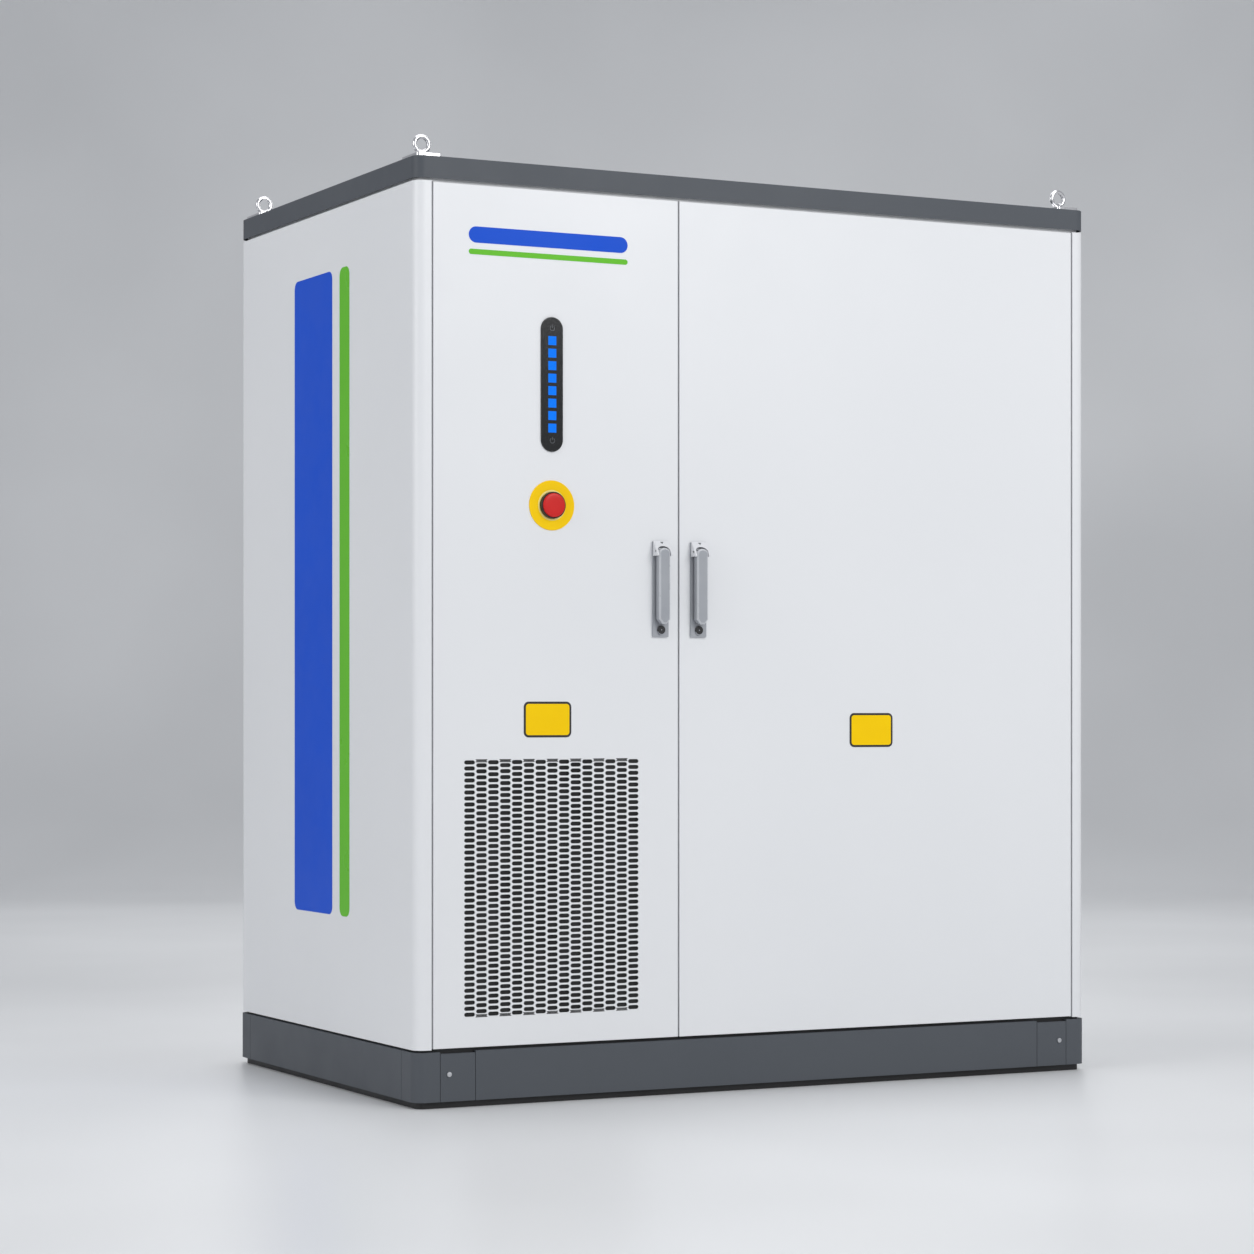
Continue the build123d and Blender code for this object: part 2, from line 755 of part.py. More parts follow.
def make_handle(x):
    """Plate with a lock barrel, wedge-shaped swivel head on its spindle, and the lever."""
    half = handle_width / 2
    plate = block(x - half, x + half, plate_front, front, handle_bottom, handle_top)
    plate = fillet(plate.edges().filter_by(Axis.Y), 2)
    plate += cylinder_y(x, handle_bottom + foot_height / 2 + 2, plate_front - 4, plate_front, lock_barrel_radius)
    plate -= cylinder_y(x, spindle_z, plate_front, front, spindle_radius + spindle_clearance)

    head_back = plate_front - seat_gap
    head_bottom = handle_top - head_height
    side = make_face(Polyline(
        (head_back, head_bottom), (head_back, handle_top), (head_back - 3, handle_top),
        (head_back - head_depth, head_bottom + 6), (head_back - head_depth, head_bottom), close=True))
    head = extrude(Plane.YZ * side, half, both=True)
    slot = lever_width / 2 + lever_clearance
    round_end = lever_thickness / 2 + lever_clearance
    cut = cylinder_x(0, 0, -slot, slot, round_end)
    cut += block(-slot, slot, -head_depth, round_end, -head_height, 0)
    cut += block(-slot, slot, -head_depth, 0, -round_end, round_end)
    head -= Pos(0, pin_y, spindle_z) * cut
    head += cylinder_x(pin_y, spindle_z, -half, half, pin_radius)
    spindle_end = front + sheet + lock_case_sheet + 12
    head += cylinder_y(0, spindle_z, pin_y + round_end, spindle_end, spindle_radius)
    pinion_start = front + sheet + lock_case_sheet
    head += cylinder_y(0, spindle_z, pinion_start, pinion_start + rod_thickness, pinion_radius)

    lever_half = lever_width / 2
    arch = spindle_z + lever_thickness / 2 - lever_half
    outline = make_face(Polyline(
        (-lever_half, arch), (-lever_half, lever_bottom + 10), (-lever_half + 8, lever_bottom),
        (lever_half - 8, lever_bottom), (lever_half, lever_bottom + 10), (lever_half, arch), close=True))
    outline += Pos(0, arch) * Circle(lever_half)
    lever = Pos(0, lever_back, 0) * extrude(Plane.XZ * outline, lever_thickness)
    ends = block(-lever_half, lever_half, lever_back - lever_thickness, lever_back,
                 lever_bottom, spindle_z)
    ends += cylinder_x(pin_y, spindle_z, -lever_half, lever_half, lever_thickness / 2)
    lever &= ends
    lever -= cylinder_x(pin_y, spindle_z, -half, half, pin_radius + 0.05)
    return plate, Pos(x, 0, 0) * head, Pos(x, 0, 0) * lever


def make_lock(x, side):
    """Lock case with guides, and the two rods that the spindle's pinion drives.
    side is 1 where the upper rod runs to the right of the spindle."""
    y0 = front + sheet
    case_half = lock_case_width / 2
    case_tall = lock_case_height / 2
    rod_y0 = y0 + lock_case_sheet
    rod_y1 = rod_y0 + rod_thickness
    inner = pinion_radius + rack_clearance
    z_up = door_top - sheet - rod_end_gap
    z_down = door_bottom + sheet + rod_end_gap

    xs = sorted((x + side * inner, x + side * (inner + rod_width)))
    upper = block(*xs, rod_y0, rod_y1, spindle_z - case_tall + 20, z_up)
    xs = sorted((x - side * inner, x - side * (inner + rod_width)))
    lower = block(*xs, rod_y0, rod_y1, z_down, spindle_z + case_tall - 20)

    back = rod_y1 + seat_gap
    case = block(x - case_half, x + case_half, y0, y0 + lock_case_sheet - seat_gap,
                 spindle_z - case_tall, spindle_z + case_tall)
    case -= cylinder_y(x, spindle_z, y0, back, spindle_radius + seat_gap)
    for x0 in (x - case_half, x + case_half - lock_case_sheet):
        case += block(x0, x0 + lock_case_sheet, y0, back, spindle_z - case_tall, spindle_z + case_tall)
    cover = block(x - case_half, x + case_half, back, back + lock_case_sheet,
                  spindle_z - case_tall, spindle_z + case_tall)
    cover -= cylinder_y(x, spindle_z, back, back + lock_case_sheet, spindle_radius + seat_gap)
    guides = []
    for z in (z_up - 90, (z_up + spindle_z) / 2):
        guides.append(rod_guide(x + side * (inner + rod_width / 2), y0, rod_y1, z))
    for z in (z_down + 70, (z_down + spindle_z) / 2):
        guides.append(rod_guide(x - side * (inner + rod_width / 2), y0, rod_y1, z))
    return case + cover, guides, upper, lower


def rod_guide(x, y0, y1, z):
    """A clip on the skin that the rod slides through."""
    half = rod_width / 2 + seat_gap
    wall = 3.0
    guide = block(x - half - wall, x + half + wall, y0, y1 + seat_gap + wall, z, z + 20)
    guide -= block(x - half, x + half, y0 + lock_case_sheet - seat_gap, y1 + seat_gap, z, z + 20)
    return guide


# Battery bay --------------------------------------------------------------------------

bay_left = bay_split + sheet / 2
bay_right = right - post_inner
bay_floor = base_height + sheet
module_y0 = front + module_front
module_y1 = module_y0 + module_depth
row_pitch_z = module_height + module_row_gap
rack_top = sill_top + module_rows * row_pitch_z + module_row_gap
column_width = (bay_right - mullion_right - 3 * rack_upright) / module_columns


def column_start(column):
    return mullion_right + rack_upright + column * (column_width + rack_upright)


def row_floor(row):
    return sill_top + module_row_gap + row * row_pitch_z


def make_rack():
    """Six uprights from the floor pan, tied at top and bottom, and a pair of angle
    runners under every module."""
    rack = None
    xs = [mullion_right + column * (column_width + rack_upright) for column in range(module_columns + 1)]
    ys = [module_y0 + 30, module_y1 - rack_upright]
    for x in xs:
        for y in ys:
            tube = block(x, x + rack_upright, y, y + rack_upright, bay_floor, rack_top)
            rack = tube if rack is None else rack + tube
        rack += block(x, x + rack_upright, ys[0], ys[1] + rack_upright, rack_top, rack_top + rack_sheet)
        rack += block(x, x + rack_upright, ys[0], ys[1] + rack_upright, bay_floor, bay_floor + rack_sheet)
    for y in ys:
        rack += block(xs[0], xs[-1] + rack_upright, y, y + rack_upright, rack_top, rack_top + rack_sheet)
    for column in range(module_columns):
        x0 = column_start(column)
        x1 = x0 + column_width
        for row in range(module_rows):
            z = row_floor(row)
            for xa, xb, xw in ((x0, x0 + rack_rail_width, x0), (x1 - rack_rail_width, x1, x1 - rack_sheet)):
                rack += block(xa, xb, ys[0], ys[1] + rack_upright, z - rack_sheet, z)
                rack += block(xw, xw + rack_sheet, ys[0], ys[1] + rack_upright, z, z + 20)
    return rack


def make_module(column, row):
    """A battery module: case, front plate, two grips, two terminals and a plug."""
    x0 = column_start(column) + module_side_gap
    x1 = column_start(column) + column_width - module_side_gap
    z0 = row_floor(row)
    z1 = z0 + module_height
    case = block(x0, x1, module_y0 + 4, module_y1, z0, z1)
    case += block(x0, x1, module_y0, module_y0 + 4, z0, z1)
    middle = (z0 + z1) / 2
    for x in (x0 + 36, x1 - 48):
        grip = block(x, x + 12, module_y0 - 38, module_y0, middle - 60, middle + 60)
        grip -= block(x, x + 12, module_y0 - 28, module_y0, middle - 48, middle + 48)
        case += grip
    for x in (x0 + 90, x1 - 90):
        case += block(x - 18, x + 18, module_y0 - 24, module_y0, z1 - 70, z1 - 30)
    mid_x = (x0 + x1) / 2
    case += block(mid_x - 45, mid_x + 45, module_y0 - 16, module_y0, z0 + 40, z0 + 75)
    return case


def make_links():
    """Busbar links between each module's terminals and the module above it."""
    links = []
    for column in range(module_columns):
        x0 = column_start(column) + module_side_gap
        x1 = column_start(column) + column_width - module_side_gap
        for row in range(module_rows - 1):
            x = x0 + 90 if row % 2 else x1 - 90
            z0 = row_floor(row) + module_height - 62
            links.append(block(x - 10, x + 10, module_y0 - 28, module_y0 - 24, z0, z0 + row_pitch_z + 16))
    return links


def make_hv_box():
    """The high-voltage box on top of the rack: contactors, fuses and shunt in one case."""
    z0 = rack_top + rack_sheet
    z1 = z0 + hv_box_height
    x0 = mullion_right + 20
    x1 = bay_right - 20
    box = block(x0, x1, module_y0 + 30, module_y0 + 500, z0, z1)
    for i in range(4):
        x = x0 + 120 + 90 * i
        box += cylinder_y(x, (z0 + z1) / 2, module_y0 + 10, module_y0 + 30, 22)
    box += block(x1 - 260, x1 - 80, module_y0 + 18, module_y0 + 30, z0 + 40, z1 - 40)
    return box


# Control and cooling bay ----------------------------------------------------------------

cool_x0 = left + post_inner + 8
cool_x1 = mullion_left - 8
cool_middle = (cool_x0 + cool_x1) / 2
cool_y0 = front + cooling_front
cool_z1 = bay_floor + cooling_height


def fan_places():
    step = cooling_height / 4
    return [bay_floor + step, bay_floor + 3 * step]


def make_cooling_unit():
    """An open-fronted case for the liquid cooler, with its radiator across the mouth."""
    y0 = cool_y0 + shroud_thickness
    case = block(cool_x0, cool_x1, y0, y0 + cooling_depth, bay_floor, cool_z1)
    mouth = 80.0
    case -= block(cool_x0 + sheet, cool_x1 - sheet, y0, y0 + mouth, bay_floor + sheet, cool_z1 - sheet)
    for i in range(10):
        x = cool_x0 + 24 + i * (cool_x1 - cool_x0 - 48) / 9
        case += block(x - 3, x + 3, y0 + mouth - 18, y0 + mouth, bay_floor + sheet, cool_z1 - sheet)
    return case


def make_fan_shroud():
    """The plate with two round mouths, and the motors on their three-armed spiders."""
    y1 = cool_y0 + shroud_thickness
    plate = block(cool_x0, cool_x1, cool_y0, y1, bay_floor, cool_z1)
    for z in fan_places():
        plate -= cylinder_y(cool_middle, z, cool_y0, y1, fan_radius + fan_tip_gap)
    for z in fan_places():
        spider_y0 = y1 - 4
        arms = None
        for i in range(3):
            arm = block(-5, 5, spider_y0, y1, 0, fan_radius + fan_tip_gap + 2)
            arm = Rot(0, 120 * i + 30, 0) * arm
            arms = arm if arms is None else arms + arm
        arms += cylinder_y(0, 0, spider_y0, y1 + motor_length, motor_radius)
        plate += Pos(cool_middle, 0, z) * arms
    return plate


def make_fan_rotor(z):
    """A hub and its pitched blades, in front of the motor."""
    hub_y1 = cool_y0 + shroud_thickness - 4 - seat_gap
    hub_y0 = hub_y1 - fan_depth
    hub = cylinder_y(0, 0, hub_y0, hub_y1, fan_hub_radius)
    hub = fillet(hub.edges().group_by(Axis.Y)[0], 5)
    middle = (hub_y0 + hub_y1) / 2
    rotor = hub
    for i in range(fan_blades):
        blade = Box(3, 46, fan_radius - fan_hub_radius + 4)
        blade = Rot(0, 0, 90 - fan_blade_pitch) * blade
        blade &= Cylinder(2 * fan_radius, 2 * fan_radius) & Box(60, fan_depth - 6, 2 * fan_radius)
        blade = Pos(0, middle, (fan_radius + fan_hub_radius - 4) / 2) * blade
        rotor += Rot(0, i * 360 / fan_blades, 0) * blade
    return Pos(cool_middle, 0, z) * rotor


plate_y = front + control_plate_depth
plate_z0 = cool_z1 + 12
plate_z1 = ring_bottom


def make_control_plate():
    """The mounting plate of the control gear, with a shelf under it and two rails."""
    plate = block(cool_x0 - 8, cool_x1 + 8, plate_y, plate_y + control_plate_sheet, plate_z0, plate_z1)
    plate += block(cool_x0 - 8, cool_x1 + 8, plate_y - 120, plate_y + 460, cool_z1, plate_z0)
    for z in (plate_z0 + 330, plate_z0 + 560):
        plate += block(cool_x0 + 130, cool_x1 - 30, plate_y - 8, plate_y, z, z + 35)
    return plate


def make_converter():
    """The power converter behind the mounting plate, finned at the rear."""
    y0 = plate_y + control_plate_sheet
    z0 = plate_z0
    body = block(cool_x0 + 20, cool_x1 - 20, y0, y0 + converter_depth, z0, z0 + converter_height)
    for i in range(12):
        x = cool_x0 + 40 + i * (cool_x1 - cool_x0 - 84) / 11
        body += block(x, x + 4, y0 + converter_depth, y0 + converter_depth + 40, z0 + 20, z0 + converter_height - 20)
    return body


knob_radius = 28.0
disconnect_z = plate_z0 + 150
disconnect_x = cool_middle + 60


def make_disconnect():
    """The main switch: case on the plate and a rotary knob with a grip bar."""
    y1 = plate_y
    case = block(disconnect_x - 70, disconnect_x + 70, y1 - 90, y1, disconnect_z - 80, disconnect_z + 80)
    bore = 6.0
    case -= cylinder_y(disconnect_x, disconnect_z, y1 - 90, y1 - 60, bore + 0.05)
    knob = cylinder_y(disconnect_x, disconnect_z, y1 - 104, y1 - 90 - seat_gap, knob_radius)
    knob += block(disconnect_x - 6, disconnect_x + 6, y1 - 122, y1 - 104,
                  disconnect_z - knob_radius + 2, disconnect_z + knob_radius - 2)
    knob += cylinder_y(disconnect_x, disconnect_z, y1 - 91, y1 - 62, bore)
    return case, knob


def make_controller():
    """The battery controller on the upper rail, with its row of plugs."""
    z0 = plate_z0 + 545
    x0 = cool_x0 + 150
    x1 = cool_x1 - 50
    unit = block(x0, x1, plate_y - 62, plate_y - 8, z0, z0 + 130)
    for i in range(5):
        x = x0 + 22 + i * (x1 - x0 - 44) / 4
        unit += block(x - 12, x + 12, plate_y - 74, plate_y - 62, z0 + 12, z0 + 34)
    return unit


def make_bottle():
    """The extinguishing bottle that stands on the shelf, with its valve and nozzle."""
    x = cool_x0 + 66
    y = plate_y - seat_gap - bottle_radius
    z0 = plate_z0
    bottle = upright_cylinder(x, y, z0, z0 + bottle_height, bottle_radius)
    bottle = fillet(bottle.edges().group_by(Axis.Z)[-1], 30)
    bottle += upright_cylinder(x, y, z0 + bottle_height, z0 + bottle_height + 45, 16)
    bottle += cylinder_y(x, z0 + bottle_height + 28, y - 45, y, 8)
    return bottle


# Every node ---------------------------------------------------------------------------

save("base_frame", make_base_frame())
corners, panels, plates, screws = make_plinth()
save("plinth_corners", *corners)
save("plinth_panels", *panels)
save("plinth_end_plates", *plates)
save("plinth_screws", *screws)

front_post = make_front_post()
rear_post = make_rear_post()
save("front_posts", front_post, mirrored(front_post))
save("rear_posts", rear_post, mirrored(rear_post))
save("sill_frame", make_sill_frame())
save("top_frame", *make_top_frame())
save("door_mullion", make_mullion())
save("bay_partition", make_partition())
save("floor_pan", make_floor_pan())
save("cable_glands", *make_glands())
side_panel = make_side_panel()
save("side_panels", side_panel, mirrored(side_panel))
save("rear_panel", make_rear_panel())
save("roof_cap", make_roof_cap())
pads, eyes = make_lifting_points()
save("lifting_pads", *pads)
save("lifting_eyes", *eyes)

save("left_door_skin", make_left_door_skin())
save("right_door_skin", make_right_door_skin())
left_seal_line = (left_door_start + lip_hinge_side + lip_sheet / 2, mullion_left + lip_sheet / 2)
right_seal_line = (mullion_right - lip_sheet / 2, right_door_end - lip_hinge_side - lip_sheet / 2)
save("left_door_seal", door_seal(*left_seal_line))
save("right_door_seal", door_seal(*right_seal_line))
grille = make_grille()
save("intake_grille", grille)
save("intake_filter", make_filter())
bezel, lights = make_status_bar()
save("status_bar_housing", bezel)
save("status_bar_lights", *lights)
stop_plate, stop_body, stop_plunger, stop_button = make_emergency_stop()
save("emergency_stop_plate", stop_plate)
save("emergency_stop_body", stop_body)
save("emergency_stop_plunger", stop_plunger)
save("emergency_stop_button", stop_button)

rail_start = left_seal_line[0] + seal_width / 2 + 1
rail_end = left_seal_line[1] - seal_width / 2 - 1
left_rails = door_rails(rail_start, rail_end, (grille_bottom + grille_height + 20, 1200.0, 1850.0))
right_rails = door_rails(right_seal_line[0] + seal_width / 2 + 1, right_seal_line[1] - seal_width / 2 - 1,
                         (500.0, 1000.0, 1500.0, 1850.0))
left_case, left_guides, left_upper, left_lower = make_lock(left_handle_x, 1)
right_case, right_guides, right_upper, right_lower = make_lock(right_handle_x, -1)
save("left_door_frame", left_rails, left_case, *left_guides)
save("right_door_frame", right_rails, right_case, *right_guides)
save("left_upper_rod", left_upper)
save("left_lower_rod", left_lower)
save("right_upper_rod", right_upper)
save("right_lower_rod", right_lower)

arms, brackets = make_left_hinges()
save("hinge_arms", *arms, *[mirrored(arm) for arm in arms])
save("left_hinge_brackets", *brackets)
save("right_hinge_brackets", *[mirrored(bracket) for bracket in brackets])
for side, x in (("left", left_handle_x), ("right", right_handle_x)):
    plate, head, lever = make_handle(x)
    save(f"{side}_handle_plate", plate)
    save(f"{side}_handle_swivel", head)
    save(f"{side}_handle_lever", lever)

save("battery_rack", make_rack())
for column, side in enumerate(("left", "right")):
    save(f"{side}_battery_modules", *[make_module(column, row) for row in range(module_rows)])
save("module_links", *make_links())
save("high_voltage_box", make_hv_box())
save("cooling_unit", make_cooling_unit())
save("fan_shroud", make_fan_shroud())
lower_fan, upper_fan = fan_places()
save("lower_fan_rotor", make_fan_rotor(lower_fan))
save("upper_fan_rotor", make_fan_rotor(upper_fan))
save("control_plate", make_control_plate())
save("power_converter", make_converter())
disconnect_case, disconnect_knob = make_disconnect()
save("disconnect_case", disconnect_case)
save("disconnect_knob", disconnect_knob)
save("battery_controller", make_controller())
save("extinguisher_bottle", make_bottle())
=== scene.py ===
import bpy
import bmesh
import json
import math
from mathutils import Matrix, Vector


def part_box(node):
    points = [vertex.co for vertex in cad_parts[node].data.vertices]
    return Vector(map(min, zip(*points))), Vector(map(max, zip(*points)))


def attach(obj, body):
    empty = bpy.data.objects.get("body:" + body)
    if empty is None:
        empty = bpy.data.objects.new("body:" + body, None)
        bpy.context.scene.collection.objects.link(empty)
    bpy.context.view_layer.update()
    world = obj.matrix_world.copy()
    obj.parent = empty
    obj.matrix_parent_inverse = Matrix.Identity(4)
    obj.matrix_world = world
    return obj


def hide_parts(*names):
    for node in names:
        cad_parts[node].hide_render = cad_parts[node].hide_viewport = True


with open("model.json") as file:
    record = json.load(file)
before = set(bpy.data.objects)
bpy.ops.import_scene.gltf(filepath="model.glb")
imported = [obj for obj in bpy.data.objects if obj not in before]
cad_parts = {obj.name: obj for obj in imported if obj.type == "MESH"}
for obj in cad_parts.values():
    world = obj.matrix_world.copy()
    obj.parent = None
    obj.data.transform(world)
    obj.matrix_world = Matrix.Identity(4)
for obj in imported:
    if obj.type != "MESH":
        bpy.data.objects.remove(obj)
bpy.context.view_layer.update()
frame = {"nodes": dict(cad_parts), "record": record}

# directions on the cabinet
right = Vector((1, 0, 0))
up = Vector((0, 0, 1))
towardsFront = Vector((0, -1, 0))
towardsLeft = Vector((-1, 0, 0))

weldDistance = 1e-6  # points closer than this are one point


def boxOf(node):
    low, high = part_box(node)
    return Vector(low), Vector(high)


def meshPiece(name, bm, material, smooth=False):
    mesh = bpy.data.meshes.new(name)
    bmesh.ops.recalc_face_normals(bm, faces=bm.faces)
    bm.to_mesh(mesh)
    bm.free()
    piece = bpy.data.objects.new(name, mesh)
    bpy.context.scene.collection.objects.link(piece)
    mesh.materials.append(material)
    if smooth:
        mesh.shade_smooth()
    return piece


def addBevel(piece, width, segments=3, angle=30):
    bevel = piece.modifiers.new("edge", "BEVEL")
    bevel.width = width
    bevel.segments = segments
    bevel.limit_method = "ANGLE"
    bevel.angle_limit = math.radians(angle)
    bevel.harden_normals = True


def roundedOutline(width, height, radius, steps=8):
    # corner points of a rounded rectangle, anticlockwise from the right
    points = []
    radius = min(radius, width / 2, height / 2)
    for corner in range(4):
        cx = (width / 2 - radius) * (1 if corner in (0, 3) else -1)
        cz = (height / 2 - radius) * (1 if corner in (0, 1) else -1)
        for step in range(steps + 1):
            angle = math.radians(90 * (corner + step / steps))
            points.append((cx + radius * math.cos(angle), cz + radius * math.sin(angle)))
    return points


def slab(bm, outline, origin, across, up, out, thickness):
    # a prism on an outline; across, up and out are unit vectors
    lower = [bm.verts.new(origin + across * a + up * b) for a, b in outline]
    upper = [bm.verts.new(v.co + out * thickness) for v in lower]
    bm.faces.new(lower)
    bm.faces.new(list(reversed(upper)))
    count = len(outline)
    for i in range(count):
        j = (i + 1) % count
        bm.faces.new([lower[i], lower[j], upper[j], upper[i]])


def archPoints(half, rise, base, steps):
    # half an ellipse over a base line, from right to left
    return [(half * math.cos(math.pi * i / steps), base + rise * math.sin(math.pi * i / steps))
            for i in range(steps + 1)]


def lathe(bm, profile, origin, axis, side, steps=64):
    # turns a profile of (radius, along) pairs round an axis
    other = axis.cross(side)
    rings = []
    for radius, along in profile:
        if radius < weldDistance:
            rings.append([bm.verts.new(origin + axis * along)])
            continue
        ring = []
        for i in range(steps):
            angle = 2 * math.pi * i / steps
            spoke = side * math.cos(angle) + other * math.sin(angle)
            ring.append(bm.verts.new(origin + axis * along + spoke * radius))
        rings.append(ring)
    for a, b in zip(rings, rings[1:]):
        if len(a) == 1 and len(b) == 1:
            continue
        for i in range(steps):
            j = (i + 1) % steps
            if len(a) == 1:
                bm.faces.new([a[0], b[i], b[j]])
            elif len(b) == 1:
                bm.faces.new([a[i], b[0], a[j]])
            else:
                bm.faces.new([a[i], b[i], b[j], a[j]])


def newMaterial(name):
    material = bpy.data.materials.new(name)
    material.use_nodes = True
    nodes = material.node_tree.nodes
    nodes.clear()
    output = nodes.new("ShaderNodeOutputMaterial")
    shader = nodes.new("ShaderNodeBsdfPrincipled")
    material.node_tree.links.new(shader.outputs[0], output.inputs[0])
    return material, shader


def objectNoise(material, scale, detail=4.0, roughness=0.5, stretch=(1, 1, 1)):
    # noise in the object's own metres
    tree = material.node_tree
    coords = tree.nodes.new("ShaderNodeTexCoord")
    mapping = tree.nodes.new("ShaderNodeMapping")
    noise = tree.nodes.new("ShaderNodeTexNoise")
    mapping.inputs["Scale"].default_value = stretch
    noise.inputs["Scale"].default_value = scale
    noise.inputs["Detail"].default_value = detail
    noise.inputs["Roughness"].default_value = roughness
    tree.links.new(coords.outputs["Object"], mapping.inputs[0])
    tree.links.new(mapping.outputs[0], noise.inputs["Vector"])
    return noise.outputs["Fac"]


def spread(material, source, low, high, fromLow=0.3, fromHigh=0.7):
    node = material.node_tree.nodes.new("ShaderNodeMapRange")
    node.inputs["From Min"].default_value = fromLow
    node.inputs["From Max"].default_value = fromHigh
    node.inputs["To Min"].default_value = low
    node.inputs["To Max"].default_value = high
    material.node_tree.links.new(source, node.inputs["Value"])
    return node.outputs[0]


def tint(material, source, colorA, colorB):
    node = material.node_tree.nodes.new("ShaderNodeMix")
    node.data_type = "RGBA"
    node.inputs["A"].default_value = (*colorA, 1)
    node.inputs["B"].default_value = (*colorB, 1)
    material.node_tree.links.new(source, node.inputs["Factor"])
    return node.outputs["Result"]


def bumpFrom(material, shader, source, distance, strength=1.0):
    node = material.node_tree.nodes.new("ShaderNodeBump")
    node.inputs["Distance"].default_value = distance
    node.inputs["Strength"].default_value = strength
    material.node_tree.links.new(source, node.inputs["Height"])
    material.node_tree.links.new(node.outputs[0], shader.inputs["Normal"])


# values that all finishes of a kind share
surface = dict(cloudDetail=3.0, fineDetail=2.0, glossDown=0.04, glossUp=0.05, shine=0.5, glossRate=4,
               coatRoughness=0.25, metalDown=0.05, metalUp=0.08, plasticClouds=14, lensGrain=220,
               lensRoughness=0.5, lensShine=0.1)


def coatedMetal(name, look):
    # powder coat: fine orange peel, faint cloudiness, slightly uneven gloss
    material, shader = newMaterial(name)
    links = material.node_tree.links
    clouds = objectNoise(material, look["cloudScale"], surface["cloudDetail"])
    color = tint(material, spread(material, clouds, 0, 1), look["color"], look["colorTwo"])
    links.new(color, shader.inputs["Base Color"])
    gloss = objectNoise(material, look["cloudScale"] * surface["glossRate"], surface["fineDetail"])
    links.new(spread(material, gloss, look["gloss"] - surface["glossDown"], look["gloss"] + surface["glossUp"]),
              shader.inputs["Roughness"])
    peel = objectNoise(material, look["peelScale"], surface["fineDetail"])
    bumpFrom(material, shader, peel, look["peelDepth"])
    shader.inputs["Coat Weight"].default_value = look["coat"]
    shader.inputs["Coat Roughness"].default_value = surface["coatRoughness"]
    shader.inputs["Specular IOR Level"].default_value = look.get("shine", surface["shine"])
    return material


def bareMetal(name, look):
    # plated, cast or drawn metal with a grain
    material, shader = newMaterial(name)
    links = material.node_tree.links
    grain = objectNoise(material, look["grainScale"], surface["cloudDetail"], stretch=look["stretch"])
    links.new(tint(material, spread(material, grain, 0, 1), look["color"], look["colorTwo"]),
              shader.inputs["Base Color"])
    links.new(spread(material, grain, look["gloss"] - surface["metalDown"], look["gloss"] + surface["metalUp"]),
              shader.inputs["Roughness"])
    shader.inputs["Metallic"].default_value = 1.0
    bumpFrom(material, shader, grain, look["grainDepth"])
    return material


def mouldedPlastic(name, look):
    # moulded plastic or rubber with a spark-eroded grain
    material, shader = newMaterial(name)
    links = material.node_tree.links
    clouds = objectNoise(material, surface["plasticClouds"], surface["cloudDetail"])
    links.new(tint(material, spread(material, clouds, 0, 1), look["color"], look["colorTwo"]),
              shader.inputs["Base Color"])
    grain = objectNoise(material, look["grainScale"], surface["fineDetail"])
    links.new(spread(material, grain, look["gloss"] - surface["glossDown"], look["gloss"] + surface["glossUp"]),
              shader.inputs["Roughness"])
    bumpFrom(material, shader, grain, look["grainDepth"])
    shader.inputs["Specular IOR Level"].default_value = look.get("shine", surface["shine"])
    return material


def litSquare(name, look):
    # an evenly lit diffuser with a fine grain in its colour
    material, shader = newMaterial(name)
    links = material.node_tree.links
    fine = objectNoise(material, surface["lensGrain"], surface["fineDetail"])
    color = tint(material, spread(material, fine, 0, 1), look["color"], look["colorTwo"])
    shader.inputs["Base Color"].default_value = (*look["lens"], 1)
    links.new(color, shader.inputs["Emission Color"])
    shader.inputs["Emission Strength"].default_value = look["strength"]
    shader.inputs["Roughness"].default_value = surface["lensRoughness"]
    shader.inputs["Specular IOR Level"].default_value = surface["lensShine"]
    return material


